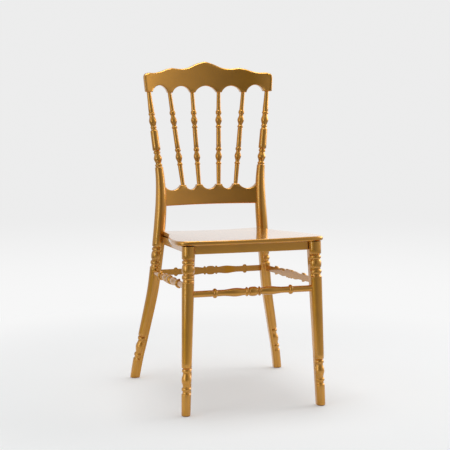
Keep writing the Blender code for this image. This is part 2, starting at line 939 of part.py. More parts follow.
def make_seat():
    outline = seat_outline()
    top = seat_thickness
    rows = [
        (0.0, seat_bottom_roll),
        (seat_bottom_roll, 0.0),
        (top - seat_top_roll, 0.0),
        (top - seat_top_roll * 0.3, seat_top_roll * 0.3),
        (top, seat_top_roll),
    ]
    rings = []
    for height, inset in rows:
        share = max(0.0, 1.0 - (top - height) / seat_top_roll)
        ring = moved_in(outline, inset)
        rings.append([in_seat_frame(point.x, point.y, height - share * seat_dish(point)) for point in ring])
    middle = Vector((0.0, 0.0, 0.0))
    for share in (0.7, 0.35):
        ring = []
        for point in moved_in(outline, seat_top_roll):
            flat = middle.lerp(point, share)
            ring.append(in_seat_frame(flat.x, flat.y, top - seat_dish(flat)))
        rings.append(ring)
    return loft("seat_panel", rings, gold_resin("seat_panel"))


# Corner brackets: an L under each corner of the seat, with its arms along two aprons

def meeting_point(point_a, direction_a, point_b, direction_b):
    cross = direction_a.x * direction_b.y - direction_a.y * direction_b.x
    gap = point_b - point_a
    share = (gap.x * direction_b.y - gap.y * direction_b.x) / cross
    return point_a + direction_a * share


def toward(direction, target):
    return direction if direction.dot(target) > 0.0 else -direction


def make_bracket(name, cross_points, side_points, cross_apron, side_apron):
    """Arms run along the front or rear apron and along the side apron, from near the leg."""
    middle = Vector((0.0, 0.0, 0.0))
    faces = []
    for near, far in (cross_points, side_points):
        run = (far - near).normalized()
        normal = toward(Vector((run.y, -run.x, 0.0)), middle - near)
        faces.append((near + normal * bracket_gap, far + normal * bracket_gap, run, normal))
    (cross_near, cross_far, cross_run, cross_normal) = faces[0]
    (side_near, side_far, side_run, side_normal) = faces[1]
    cross_inner = cross_normal * bracket_arm_thickness
    side_inner = side_normal * bracket_arm_thickness
    inner_corner = meeting_point(cross_near + cross_inner, cross_run, side_near + side_inner, side_run)
    outer_corner = meeting_point(cross_near, cross_run, side_near, side_run)
    outline = [
        cross_near,
        cross_far,
        cross_far + cross_inner,
        inner_corner,
        side_far + side_inner,
        side_far,
        side_near,
    ]
    rings = []
    for height in (-clearance - bracket_height, -clearance):
        rings.append([in_seat_frame(point.x, point.y, height) for point in outline])
    bracket = loft(name, rings, gold_resin(name))

    arms = (
        (cross_apron, cross_near, cross_far, cross_normal),
        (side_apron, side_near, side_far, side_normal),
    )
    for apron, near, far, normal in arms:
        place = near.lerp(far, 0.72) + normal * bracket_arm_thickness
        start = in_seat_frame(place.x, place.y, -screw_drop)
        outward = seat_turn @ -normal
        length = bracket_arm_thickness + bracket_gap + screw_grip_in_apron
        fasten(name + "_to_" + apron.name + "_screw", start, outward, length, (bracket, apron))

    place = (outer_corner + inner_corner) / 2.0
    start = in_seat_frame(place.x, place.y, -clearance - bracket_height)
    up = seat_turn @ Vector((0.0, 0.0, 1.0))
    length = bracket_height + clearance + screw_grip_in_seat
    fasten(name + "_to_seat_screw", start, up, length, (bracket, seat))
    return bracket


def fasten(name, start, outward, length, hosts):
    """A pan-head screw that enters at start, and its hole in each host."""
    profile = [
        (-clearance - screw_head_height, screw_head_radius * 0.55),
        (-clearance - screw_head_height * 0.45, screw_head_radius),
        (-clearance, screw_head_radius),
        (-clearance + 0.0001, screw_radius),
        (length - 0.0020, screw_radius),
        (length, screw_radius * 0.35),
    ]
    turned(name, profile, start, start + outward, screw_facets, steel(name))
    back = start - outward * 0.0010
    tip = start + outward * (length + socket_spare)
    hole = rod(name + "_hole", back, tip, screw_radius + clearance, screw_facets)
    for host in hosts:
        boolean(host, hole)


# Stretchers and their sockets

def flat_keeper(name, start, end, toward_middle, offset, margin):
    """A box over everything past the flat on the inner side of a stretcher."""
    run = (end - start).normalized()
    inner = (toward_middle - run * toward_middle.dot(run)).normalized()
    up = run.cross(inner)
    turn = Matrix((run, inner, up)).transposed()
    depth = 0.040
    centre = (start + end) / 2.0 + inner * (offset + depth / 2.0)
    return box(name, ((end - start).length + margin, depth, 0.060), centre, turn)


def socket_for_stretcher(name, tip, run, inner, depth):
    """A blind socket of the stretcher's D section, grown by the clearance."""
    start = tip - run * socket_spare
    end = tip + run * depth
    turn = Matrix((run, inner, run.cross(inner))).transposed()
    bm = bmesh.new()
    radius = stretcher_end_radius + clearance
    bmesh.ops.create_cone(
        bm, cap_ends=True, segments=turned_facets, radius1=radius, radius2=radius, depth=(end - start).length
    )
    stand = Matrix.Rotation(math.radians(90.0), 4, "Y")
    place = Matrix.Translation((start + end) / 2.0) @ turn.to_4x4() @ stand
    bmesh.ops.transform(bm, matrix=place, verts=bm.verts)
    cut = bmesh.ops.bisect_plane(
        bm,
        geom=bm.verts[:] + bm.edges[:] + bm.faces[:],
        plane_co=(start + end) / 2.0 + inner * (stretcher_flat_offset + clearance),
        plane_no=inner,
        clear_outer=True,
    )
    rim = [item for item in cut["geom_cut"] if isinstance(item, bmesh.types.BMEdge)]
    bmesh.ops.edgeloop_fill(bm, edges=rim)
    return object_from_bmesh(name, bm)


def make_stretcher(name, start_host, start_axis, start_radius, end_host, end_axis, end_radius):
    run = (end_axis - start_axis).normalized()
    start = start_axis + run * (start_radius - stretcher_pin_depth)
    end = end_axis - run * (end_radius - stretcher_pin_depth)
    middle = (start + end) / 2.0
    length = (end - start).length
    member = turned(name, stretcher_profile(length), middle, end, turned_facets, gold_resin(name))
    toward_middle = Vector((-middle.x, -middle.y, 0.0))
    inner = (toward_middle - run * toward_middle.dot(run)).normalized()
    keeper = flat_keeper(name + "_flat", start, end, toward_middle, stretcher_flat_offset, 0.02)
    boolean(member, keeper)
    reach = stretcher_pin_depth + 0.0060
    boolean(start_host, socket_for_stretcher(name + "_start_socket", start, run, inner, reach))
    boolean(end_host, socket_for_stretcher(name + "_end_socket", end, -run, inner, reach))
    return member


# Foot glides

def make_glide(name, host, axis_point):
    """A disc on the floor with a stem up into the foot."""
    foot = Vector((axis_point.x, axis_point.y, 0.0))
    profile = [
        (0.0, glide_radius - 0.0010),
        (0.0010, glide_radius),
        (glide_height, glide_radius),
        (glide_height + 0.0001, glide_stem_radius),
        (glide_height + glide_stem_length, glide_stem_radius),
    ]
    turned(name, profile, foot, foot + Vector((0.0, 0.0, 1.0)), turned_facets, glide_plastic(name))
    top = foot + Vector((0.0, 0.0, glide_height + glide_stem_length + socket_spare))
    hole = rod(name + "_hole", foot, top, glide_stem_radius + clearance, turned_facets)
    boolean(host, hole)


# The chair

sides = (-1, 1)
legs = {}
posts = {}
leg_envelopes = {}
post_envelopes = {}
for side in sides:
    word = side_name(side)
    legs[side] = make_front_leg("front_" + word + "_leg", side, 0.0, gold_resin("front_" + word + "_leg"))
    posts[side] = make_rear_post(word + "_rear_post", side, 0.0, gold_resin(word + "_rear_post"))
    leg_envelopes[side] = make_front_leg("front_" + word + "_leg_envelope", side, clearance)
    post_envelopes[side] = make_rear_post(word + "_rear_post_envelope", side, clearance)

seat = make_seat()
over_seat = box(
    "above_the_leg_tops",
    (0.60, 0.60, 0.10),
    in_seat_frame(0.0, 0.0, 0.05 - clearance),
    seat_turn,
)
for side in sides:
    boolean(legs[side], over_seat)
    boolean(seat, post_envelopes[side])

front_apron = make_front_apron()
rear_apron = make_rear_apron()
side_aprons = {side: make_side_apron(side) for side in sides}
for side in sides:
    word = side_name(side)
    across = Vector((side, 0.0, 0.0))
    along = Vector((0.0, 1.0, 0.0))
    boolean(front_apron, leg_envelopes[side])
    boolean(rear_apron, post_envelopes[side])
    boolean(side_aprons[side], leg_envelopes[side])
    boolean(side_aprons[side], post_envelopes[side])
    tenon_y = front_apron_y(leg_x, apron_thickness / 2.0)
    apron_tenon(front_apron, legs[side], side * leg_x, tenon_y, across, leg_face)
    apron_tenon(rear_apron, posts[side], side * post_x, rear_apron_y(apron_thickness / 2.0), across, post_face)
    front_x = side * (leg_x - tenon_inset)
    rear_x = side * (post_x - rear_tenon_inset)
    apron_tenon(side_aprons[side], legs[side], front_x, leg_y, -along, leg_face)
    apron_tenon(side_aprons[side], posts[side], rear_x, post_y, along, post_face)

lower_rail = make_lower_rail()
crest_rail = make_crest_rail()
for side in sides:
    boolean(lower_rail, post_envelopes[side])
    height = rail_bottom_height + rail_tenon_rise
    axis = rear_post_axis(side, height)
    post_radius = interpolate(rear_post_profile_above_seat(), height)
    root_x = axis.x - side * (post_radius + rail_tenon_root)
    root = Vector((root_x, rail_y(root_x, height), height))
    outward = Vector((axis.x, axis.y, height)) - root
    reach = rail_tenon_root + rail_tenon_depth
    up = Vector((0.0, 0.0, 1.0))
    join_tenon(lower_rail, posts[side], root, outward, up, reach, rail_tenon_thickness, rail_tenon_height)
    spigot_top = crest_bottom_height + post_spigot_depth
    spigot_tip = rear_post_axis(side, spigot_top)
    spigot_run = rear_post_direction(side, spigot_top).normalized()
    hole = rod(
        side_name(side) + "_spigot_hole",
        rear_post_axis(side, crest_bottom_height - 0.0050),
        spigot_tip + spigot_run * socket_spare,
        post_neck_radius + clearance * 1.5,
        turned_facets,
    )
    boolean(crest_rail, hole)

rail_pedestal_height = rail_bottom_height + rail_pedestal_rise
spindle_places = (
    (-outer_spindle_foot, -outer_spindle_top),
    (-inner_spindle_foot, -inner_spindle_top),
    (inner_spindle_foot, inner_spindle_top),
    (outer_spindle_foot, outer_spindle_top),
)
for number, (foot_x, top_x) in enumerate(spindle_places, start=1):
    name = "back_spindle_" + str(number)
    foot = Vector((foot_x, rail_y(foot_x, rail_pedestal_height), rail_pedestal_height))
    top = Vector((top_x, crest_y(top_x, crest_bottom_height), crest_bottom_height))
    run = (top - foot).normalized()
    turned(name, spindle_profile((top - foot).length), foot, top, spindle_facets, gold_resin(name))
    deep = spindle_pin_depth + socket_spare
    foot_radius = spindle_foot_radius + clearance
    foot_hole = rod(name + "_foot_hole", foot - run * deep, foot + run * 0.006, foot_radius, spindle_facets)
    top_radius = spindle_top_radius + clearance
    top_hole = rod(name + "_top_hole", top - run * 0.006, top + run * deep, top_radius, spindle_facets)
    boolean(lower_rail, foot_hole)
    boolean(crest_rail, top_hole)


def leg_at(side, height):
    return front_leg_axis(side, height), leg_radius(height, front_leg_foot_radius, front_leg_taper)


def post_at(side, height):
    return rear_post_axis(side, height), leg_radius(height, rear_post_foot_radius, rear_post_taper)


make_stretcher(
    "front_stretcher",
    legs[-1],
    *leg_at(-1, front_stretcher_height),
    legs[1],
    *leg_at(1, front_stretcher_height),
)
make_stretcher(
    "rear_stretcher",
    posts[-1],
    *post_at(-1, rear_stretcher_height),
    posts[1],
    *post_at(1, rear_stretcher_height),
)
for side in sides:
    make_stretcher(
        side_name(side) + "_stretcher",
        legs[side],
        *leg_at(side, side_stretcher_front_height),
        posts[side],
        *post_at(side, side_stretcher_rear_height),
    )

for side in sides:
    word = side_name(side)
    near_leg = bracket_leg_gap + leg_face
    near_post = bracket_leg_gap + post_face
    far = bracket_arm_length
    front_xs = (side * (leg_x - near_leg), side * (leg_x - near_leg - far))
    front_face = [Vector((x, front_apron_y(x, apron_thickness), 0.0)) for x in front_xs]
    side_face = [side_apron_point(side, leg_y + near_leg + run, apron_thickness) for run in (0.0, far)]
    make_bracket("front_" + word + "_bracket", front_face, side_face, front_apron, side_aprons[side])
    rear_xs = (side * (post_x - near_post - bracket_post_gap), side * (post_x - near_post - far))
    rear_face = [Vector((x, rear_apron_y(apron_thickness), 0.0)) for x in rear_xs]
    side_face = [side_apron_point(side, post_y - near_post - run, apron_thickness) for run in (0.0, far)]
    make_bracket("rear_" + word + "_bracket", rear_face, side_face, rear_apron, side_aprons[side])
    make_glide("front_" + word + "_glide", legs[side], front_leg_axis(side, 0.0))
    make_glide("rear_" + word + "_glide", posts[side], rear_post_axis(side, 0.0))


# The whole chair centred over the origin, with its feet on the floor

bpy.context.view_layer.update()
depsgraph = bpy.context.evaluated_depsgraph_get()
lows = []
highs = []
for thing in chair.objects:
    evaluated = thing.evaluated_get(depsgraph)
    corners = [thing.matrix_world @ vertex.co for vertex in evaluated.data.vertices]
    lows.append([min(corner[axis] for corner in corners) for axis in range(3)])
    highs.append([max(corner[axis] for corner in corners) for axis in range(3)])
low = [min(row[axis] for row in lows) for axis in range(3)]
high = [max(row[axis] for row in highs) for axis in range(3)]
shift = Vector((-(low[0] + high[0]) / 2.0, -(low[1] + high[1]) / 2.0, -low[2]))
for thing in list(chair.objects) + list(tools.objects):
    thing.location = thing.location + shift
bpy.context.view_layer.update()

print("pieces", len(chair.objects))
print("size", [round(high[axis] - low[axis], 4) for axis in range(3)])
print("shift", [round(value, 5) for value in shift])
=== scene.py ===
# %% [markdown]
# # A gold Napoleon chair, dressed for its portrait
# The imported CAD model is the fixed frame: it says where every member is and how big it is.
# This script gives each visible member a finer mesh and a gold moulded finish, and builds the
# studio round the chair. Lengths are metres, +Z is up, and the chair faces -Y.

# %% Load the frame
import math

import bmesh
import bpy
import numpy as np
from mathutils import Matrix, Vector


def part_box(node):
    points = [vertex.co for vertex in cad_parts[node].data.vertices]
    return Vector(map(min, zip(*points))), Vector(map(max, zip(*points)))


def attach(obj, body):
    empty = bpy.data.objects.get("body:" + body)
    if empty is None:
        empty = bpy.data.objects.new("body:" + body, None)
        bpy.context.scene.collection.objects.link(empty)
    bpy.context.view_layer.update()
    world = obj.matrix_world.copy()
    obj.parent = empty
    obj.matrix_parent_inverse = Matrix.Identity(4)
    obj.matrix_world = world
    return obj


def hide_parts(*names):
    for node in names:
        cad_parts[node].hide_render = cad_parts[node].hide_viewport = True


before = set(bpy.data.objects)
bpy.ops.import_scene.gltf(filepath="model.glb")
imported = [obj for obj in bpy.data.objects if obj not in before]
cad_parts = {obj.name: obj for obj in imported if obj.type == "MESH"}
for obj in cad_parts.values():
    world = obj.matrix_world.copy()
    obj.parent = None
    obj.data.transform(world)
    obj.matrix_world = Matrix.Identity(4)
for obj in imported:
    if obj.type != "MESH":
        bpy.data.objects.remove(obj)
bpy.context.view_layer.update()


# %% [markdown]
# ## Where the chair stands
# The chair is laid out about the middle of its four feet, and the frame is centred on the
# whole chair, crest rail included. One glide under a front foot tells how far the two differ,
# so every size below can be read straight off the real chair. Moving each number by hand would
# do the same, but would hide the sizes.

# %% Shift from the chair's own layout to the frame
def middle_of(node):
    low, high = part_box(node)
    return (Vector(low) + Vector(high)) / 2.0


front_foot_x = 0.1887
front_foot_y = -0.2261
shift = Vector((0.0, middle_of("front_left_glide").y - front_foot_y, 0.0))
print("shift", [round(value, 5) for value in shift])


# %% [markdown]
# ## Camera
# The photograph was first solved as a pinhole camera from pairs of like points on the chair, such
# as feet, rail ends and spindle tips. Its place, turn and focal length were then nudged until the
# edges in the render lay on those of the photograph. The lens follows from the focal length in
# image widths. A camera placed by eye alone would pass its error on to every size.

# %% Camera
image_width = 450
sensor_width = 36.0
focal_pixels = 1303.00
camera_yaw = math.radians(16.98)
camera_dip = math.radians(7.0916)
camera_place = Vector((-1.0605, -3.4307, 0.9165))

camera_data = bpy.data.cameras.new("portrait_camera")
camera_data.sensor_fit = "HORIZONTAL"
camera_data.sensor_width = sensor_width
camera_data.lens = sensor_width * focal_pixels / image_width
camera = bpy.data.objects.new("portrait_camera", camera_data)
bpy.context.scene.collection.objects.link(camera)
camera.location = camera_place + shift
looking = Vector((
    math.sin(camera_yaw) * math.cos(camera_dip),
    math.cos(camera_yaw) * math.cos(camera_dip),
    -math.sin(camera_dip),
))
camera.rotation_mode = "QUATERNION"
camera.rotation_quaternion = looking.to_track_quat("-Z", "Y")
bpy.context.scene.camera = camera
print("lens", round(camera_data.lens, 2), "mm")


# %% [markdown]
# ## Shader nodes
# A finish in Blender is a small tree of nodes. The helpers here add a node and fill its inputs
# in one go, with numbers, colours or other nodes' outputs, so that a finish reads as a recipe.

# %% Helpers for shader nodes
def new_material(name):
    material = bpy.data.materials.new(name)
    material.use_nodes = True
    material.node_tree.nodes.clear()
    return material, material.node_tree


def add_node(tree, kind, inputs=None, **settings):
    """A node whose inputs are numbers, colours or the outputs of other nodes."""
    node = tree.nodes.new(kind)
    for key, value in settings.items():
        setattr(node, key, value)
    for key, value in (inputs or {}).items():
        if isinstance(value, bpy.types.NodeSocket):
            tree.links.new(value, node.inputs[key])
        else:
            node.inputs[key].default_value = value
    return node


def faded(tree, source, start, end, low=0.0, high=1.0):
    """A value that goes smoothly from low to high as the source goes from start to end."""
    inputs = {"Value": source, "From Min": start, "From Max": end, "To Min": low, "To Max": high}
    node = add_node(tree, "ShaderNodeMapRange", inputs, interpolation_type="SMOOTHSTEP")
    return node.outputs["Result"]


def ramp(tree, source, stops):
    """The colour of a ramp with the given (position, grey or colour) stops."""
    node = add_node(tree, "ShaderNodeValToRGB", {"Fac": source})
    elements = node.color_ramp.elements
    while len(elements) < len(stops):
        elements.new(0.5)
    for element, (position, colour) in zip(elements, stops):
        element.position = position
        if isinstance(colour, float):
            colour = (colour, colour, colour)
        element.color = (*colour, 1.0)
    return node.outputs["Color"]


def mixed(tree, share, first, second):
    """Two shaders in one, of which the second counts as much as the share says."""
    inputs = {"Fac": share, 1: first, 2: second}
    return add_node(tree, "ShaderNodeMixShader", inputs).outputs["Shader"]


# %% [markdown]
# ## Studio
# A pale floor runs back into a pale backdrop. The floor is matt near the chair, where it takes
# a soft shadow, and a share of it there is a glow for the camera: painted light that lifts the
# shadow. Farther out the camera sees only that glow, so that no horizon shows. It is painted
# light too, brightest near the chair like a pool of lamp light and falling to the backdrop grey
# farther back. All other rays go on into the room. One big matt plane would be simpler, but it
# would turn grey toward the back.

# %% Floor
backdrop_grey = 0.845
floor_radius = 30.0
floor_sides = 96
floor_tint = (0.930, 0.940, 0.945, 1.0)
floor_near = 0.60
floor_far = 1.3
# Painted light: this share of the camera's glow lies over the shadowed floor near the chair
painted_shadow_lift = 0.22
# Painted light: the glow's level near the chair, brighter than the backdrop grey
painted_near_light = 0.93
glow_near = 1.5
glow_far = 4.5


def floor_finish():
    material, tree = new_material("studio_floor")
    place = add_node(tree, "ShaderNodeTexCoord").outputs["Object"]
    way = add_node(tree, "ShaderNodeVectorMath", {0: place}, operation="LENGTH").outputs["Value"]
    # Painted light: the glow is brightest near the chair, like a pool of lamp light, and falls to
    # the backdrop grey
    level = faded(tree, way, glow_near, glow_far, painted_near_light, backdrop_grey)
    glow = add_node(tree, "ShaderNodeEmission", {"Color": level}).outputs["Emission"]
    clear = add_node(tree, "ShaderNodeBsdfTransparent").outputs["BSDF"]
    rays = add_node(tree, "ShaderNodeLightPath")
    far = mixed(tree, rays.outputs["Is Camera Ray"], clear, glow)
    matt = add_node(tree, "ShaderNodeBsdfDiffuse", {"Color": floor_tint}).outputs["BSDF"]
    # Near the chair a share of the glow lies over the matt floor for the camera: painted light
    # over its shadow
    surface = mixed(tree, faded(tree, way, floor_near, floor_far, painted_shadow_lift), matt, far)
    add_node(tree, "ShaderNodeOutputMaterial", {"Surface": surface})
    return material


def make_floor():
    bm = bmesh.new()
    bmesh.ops.create_circle(bm, cap_ends=True, segments=floor_sides, radius=floor_radius)
    mesh = bpy.data.meshes.new("studio_floor")
    bm.to_mesh(mesh)
    bm.free()
    mesh.materials.append(floor_finish())
    floor = bpy.data.objects.new("studio_floor", mesh)
    bpy.context.scene.collection.objects.link(floor)
    print("floor", 2.0 * floor_radius, "m across")


make_floor()


# %% [markdown]
# ### Room
# Gold gloss is only as good as what it mirrors: in an even grey room it looks like brown
# plastic. So the room is a ring of light and dark stretches by heading, one ring for the walls
# and one for the floor under the horizon, with a grey ceiling. The levels were fitted to the
# shading of the chair in the photograph and then changed. The camera itself sees the
# plain backdrop. A surround picture could do this too, but levels in a list are easy to change.

# %% World
room_tones = [
    (0.00, 0.84),
    (0.08, 0.40),
    (0.14, 0.62),
    (0.20, 0.09),
    (0.25, 0.23),
    (0.30, 0.34),
    (0.36, 0.49),
    (0.42, 0.62),
    (0.47, 0.55),
    (0.56, 2.00),
    (0.72, 0.78),
    (0.86, 0.44),
    (1.00, 0.84),
]
ground_tones = [
    (0.00, 0.21),
    (0.12, 0.16),
    (0.25, 0.34),
    (0.38, 0.38),
    (0.50, 0.36),
    (0.75, 0.80),
    (1.00, 0.21),
]
ceiling_grey = 0.40
ceiling_start = 0.60
ceiling_full = 0.88
ground_start = 0.00
ground_full = -0.12


def grey(level):
    return (level, level, level, 1.0)


def laid_over(tree, share, under, over):
    """Two colours in one, of which the second counts as much as the share says."""
    inputs = {"Factor": share, "A": under, "B": over}
    return add_node(tree, "ShaderNodeMix", inputs, data_type="RGBA").outputs["Result"]


world = bpy.data.worlds.new("studio_room")
bpy.context.scene.world = world
world.use_nodes = True
tree = world.node_tree
tree.nodes.clear()
way = add_node(tree, "ShaderNodeTexCoord").outputs["Generated"]
round_room = add_node(tree, "ShaderNodeTexGradient", {"Vector": way}, gradient_type="RADIAL")
heading = round_room.outputs["Fac"]
height = add_node(tree, "ShaderNodeSeparateXYZ", {"Vector": way}).outputs["Z"]
rise = faded(tree, height, ceiling_start, ceiling_full)
dip = faded(tree, height, ground_start, ground_full)
walls = laid_over(tree, rise, ramp(tree, heading, room_tones), grey(ceiling_grey))
tones = laid_over(tree, dip, walls, ramp(tree, heading, ground_tones))
room = add_node(tree, "ShaderNodeBackground", {"Color": tones}).outputs["Background"]
seen = add_node(tree, "ShaderNodeBackground", {"Color": grey(backdrop_grey)}).outputs["Background"]
rays = add_node(tree, "ShaderNodeLightPath")
surface = mixed(tree, rays.outputs["Is Camera Ray"], room, seen)
add_node(tree, "ShaderNodeOutputWorld", {"Surface": surface})
print("room tones", len(room_tones), "round the walls and", len(ground_tones), "below")


# %% [markdown]
# ### Lamps
# Three soft panels give the long highlights on the turned members: a slim one on the left, a
# broad one level with the chair on the right, and one above the seat. Small lamps would give
# hard dots instead, and the shadow under the chair would have sharp edges.

# %% Lamps
side_reach = 2.40
seat_aim = (0.0, 0.0, 0.75)
floor_aim = (0.0, 0.0, 0.0)


def beside(heading, height):
    """A place at the side: heading 0 is straight before the chair, 90 on its +X side."""
    way = math.radians(heading)
    return (side_reach * math.sin(way), -side_reach * math.cos(way), height)


def soft_panel(name, place, target, width, height, power, colour=(1.0, 1.0, 1.0)):
    data = bpy.data.lights.new(name, "AREA")
    data.shape = "RECTANGLE"
    data.size = width
    data.size_y = height
    data.energy = power
    data.color = colour
    lamp = bpy.data.objects.new(name, data)
    bpy.context.scene.collection.objects.link(lamp)
    lamp.location = Vector(place) + shift
    lamp.rotation_mode = "QUATERNION"
    lamp.rotation_quaternion = (Vector(target) - Vector(place)).to_track_quat("-Z", "Y")
    print(name, power, "W")


soft_panel(
    "left_panel", beside(-64.0, 0.78), seat_aim,
    width=0.60, height=1.50, power=5.6, colour=(0.88, 1.00, 0.98),
)
soft_panel("right_panel", beside(88.0, 1.30), seat_aim, width=0.90, height=1.40, power=13.0)
soft_panel("top_panel", (0.0, 0.10, 2.20), floor_aim, width=1.00, height=1.00, power=15.0)
bpy.context.scene.view_settings.view_transform = "Standard"


# %% [markdown]
# ## Gold gloss resin
# The real chair looks like moulded resin with a metallic gold finish under a deep gloss. Up
# close such a finish has fine metal flakes, a lacquer over them as smooth as glass, and the
# faint ripple that a moulded surface keeps. A plain metal would give one hard mirror. So a
# metallic base with some roughness stands for the flakes, a coat for the lacquer, and a slow
# bump for the ripple.

# %% Gold finish
gold_colour = (0.675, 0.307, 0.026)
gold_deep = 0.94
gold_light = 1.05
cloud_scale = 14.0
flake_size = 0.0012
flake_roughness = (0.30, 0.36)
ripple_size = 0.030
ripple_strength = 0.06
ripple_height = 0.001
coat_roughness = 0.05
coat_bend = 1.60


def noise(tree, place, scale, detail, roughness=0.5):
    inputs = {"Vector": place, "Scale": scale, "Detail": detail, "Roughness": roughness}
    return add_node(tree, "ShaderNodeTexNoise", inputs).outputs["Fac"]


def bumped(tree, height, strength, distance):
    inputs = {"Height": height, "Strength": strength, "Distance": distance}
    return add_node(tree, "ShaderNodeBump", inputs).outputs["Normal"]


def set_surface(tree, inputs):
    shader = add_node(tree, "ShaderNodeBsdfPrincipled", inputs)
    add_node(tree, "ShaderNodeOutputMaterial", {"Surface": shader.outputs["BSDF"]})


def gold_gloss(name):
    material, tree = new_material(name)
    place = add_node(tree, "ShaderNodeTexCoord").outputs["Object"]
    flakes = noise(tree, place, 1.0 / flake_size, 2.0, 0.6)
    cloud = noise(tree, place, cloud_scale, 3.0)
    ripple = noise(tree, place, 1.0 / ripple_size, 1.0, 0.4)
    deep = tuple(value * gold_deep for value in gold_colour)
    light = tuple(value * gold_light for value in gold_colour)
    low, high = flake_roughness
    spread = {"Value": flakes, "From Min": 0.3, "From Max": 0.7, "To Min": low, "To Max": high}
    normal = bumped(tree, ripple, ripple_strength, ripple_height)
    set_surface(tree, {
        "Base Color": ramp(tree, cloud, [(0.35, deep), (0.65, light)]),
        "Metallic": 1.0,
        "Roughness": add_node(tree, "ShaderNodeMapRange", spread).outputs["Result"],
        "Normal": normal,
        "Coat Weight": 1.0,
        "Coat Roughness": coat_roughness,
        "Coat IOR": coat_bend,
        "Coat Normal": normal,
    })
    return material


gold = gold_gloss("gold_gloss_resin")
print("finish", gold.name)


# %% [markdown]
# ### Steel and plastic
# Screws are zinc-plated steel, whose fine turned lines come from a noise that is squeezed along
# the screw. The glides are moulded plastic with a fine grain. Both hardly show, so two tones
# and one noise each are enough.

# %% Steel and plastic finishes
turned_lines = (400.0, 400.0, 3000.0)
steel_dark = (0.46, 0.46, 0.47)
steel_light = (0.62, 0.62, 0.60)
steel_roughness = 0.32
grain_scale = 900.0
plastic_dark = (0.16, 0.10, 0.045)
plastic_light = (0.24, 0.155, 0.07)


def zinc_steel(name):
    material, tree = new_material(name)
    place = add_node(tree, "ShaderNodeTexCoord").outputs["Object"]
    along = add_node(tree, "ShaderNodeMapping", {"Vector": place, "Scale": turned_lines})
    lines = noise(tree, along.outputs["Vector"], 1.0, 2.0)
    tint = ramp(tree, lines, [(0.3, steel_dark), (0.7, steel_light)])
    set_surface(tree, {"Base Color": tint, "Metallic": 1.0, "Roughness": steel_roughness})
    return material


def matt_plastic(name):
    material, tree = new_material(name)
    place = add_node(tree, "ShaderNodeTexCoord").outputs["Object"]
    grain = noise(tree, place, grain_scale, 3.0, 0.7)
    tint = ramp(tree, grain, [(0.3, plastic_dark), (0.7, plastic_light)])
    normal = bumped(tree, grain, 0.25, 0.0002)
    set_surface(tree, {"Base Color": tint, "Roughness": 0.5, "Normal": normal})
    return material


steel = zinc_steel("zinc_plated_steel")
glide_plastic = matt_plastic("glide_plastic")
print("finishes", steel.name, glide_plastic.name)


# %% [markdown]
# ## From points to a piece
# Each member is a grid of points: rows along it, columns round it. A grid that closes on itself
# and has two capped ends is a solid skin. Edges that turn by more than a set angle stay crisp,
# and the rest shade smoothly, which is what a good mould gives. Simple bodies with modifiers
# would come near, but in a grid each ring lies where it was measured.

# %% Build a piece from a grid
crisp_angle = math.radians(38.0)


def finish_mesh(name, bm, finish, nodes):
    """Turn a bmesh into a piece of the chair that stands for its CAD nodes."""
    bmesh.ops.recalc_face_normals(bm, faces=bm.faces)
    for vertex in bm.verts:
        vertex.co += shift
    for face in bm.faces:
        face.smooth = True
    mesh = bpy.data.meshes.new(name)
    bm.to_mesh(mesh)
    bm.free()
    mesh.set_sharp_from_angle(angle=crisp_angle)
    mesh.materials.append(finish)
    piece = bpy.data.objects.new(name, mesh)
    bpy.context.scene.collection.objects.link(piece)
    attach(piece, "root")
    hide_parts(*nodes)
    print(name, len(mesh.vertices), "points")


def make_skin(name, rows, finish=gold):
    """A piece from rows of points that close round on themselves, with both ends capped."""
    bm = bmesh.new()
    loops = [[bm.verts.new(point) for point in row] for row in rows]
    count = len(loops[0])
    for lower, upper in zip(loops, loops[1:]):
        for index in range(count):
            after = (index + 1) % count
            bm.faces.new((lower[index], lower[after], upper[after], upper[index]))
    bm.faces.new(list(reversed(loops[0])))
    bm.faces.new(loops[-1])
    finish_mesh(name, bm, finish, [name])


# %% [markdown]
# ## Turned profiles
# A turner thinks in beads, balls, coves and fillets. Each of them is a few points of (distance,
# radius) along the axis, and a member is a list of them from one end to the other. A curve
# drawn by hand could be spun too, but a list keeps the sizes in sight.

# %% Beads, balls and fillets
shoulder_power = 1.5


def smooth_step(start, end, value):
    share = min(1.0, max(0.0, (value - start) / (end - start)))
    return share * share * (3.0 - 2.0 * share)


def bead(centre, half, base, peak, steps):
    """Half an ellipse that rises from the base radius and falls back to it."""
    points = []
    for step in range(steps + 1):
        angle = math.pi * step / steps
        points.append((centre - half * math.cos(angle), base + (peak - base) * math.sin(angle)))
    return points


def vase(centre, half, base, peak, steps):
    """A ball with softer shoulders than a bead: its radius follows a power of a sine."""
    points = []
    for step in range(steps + 1):
        share = step / steps
        swell = math.sin(math.pi * share) ** shoulder_power
        points.append((centre - half + 2.0 * half * share, base + (peak - base) * swell))
    return points


def fillet(start, start_radius, end, end_radius, steps):
    """A smooth S from one radius to the other."""
    points = []
    for step in range(steps + 1):
        share = step / steps
        ease = smooth_step(0.0, 1.0, share)
        radius = start_radius + (end_radius - start_radius) * ease
        points.append((start + (end - start) * share, radius))
    return points


def spaced(profile, longest):
    """Split long plain stretches so that a bent member keeps its curve."""
    points = [profile[0]]
    for distance, radius in profile[1:]:
        last_distance, last_radius = points[-1]
        gap = distance - last_distance
        parts = max(1, math.ceil(gap / longest))
        for step in range(1, parts + 1):
            share = step / parts
            here = last_radius + (radius - last_radius) * share
            points.append((last_distance + gap * share, here))
    return points


print("a bead in four steps", [round(radius, 4) for _, radius in bead(0.0, 0.005, 0.008, 0.01, 4)])


# %% [markdown]
# ## Seat plane
# The seat falls gently to the back. The boards under it and the panel itself are laid out in
# its sloping frame, whose zero is the underside of the panel. Level boards could be turned
# afterwards, but one helper that places a point on the slope serves the legs as well.

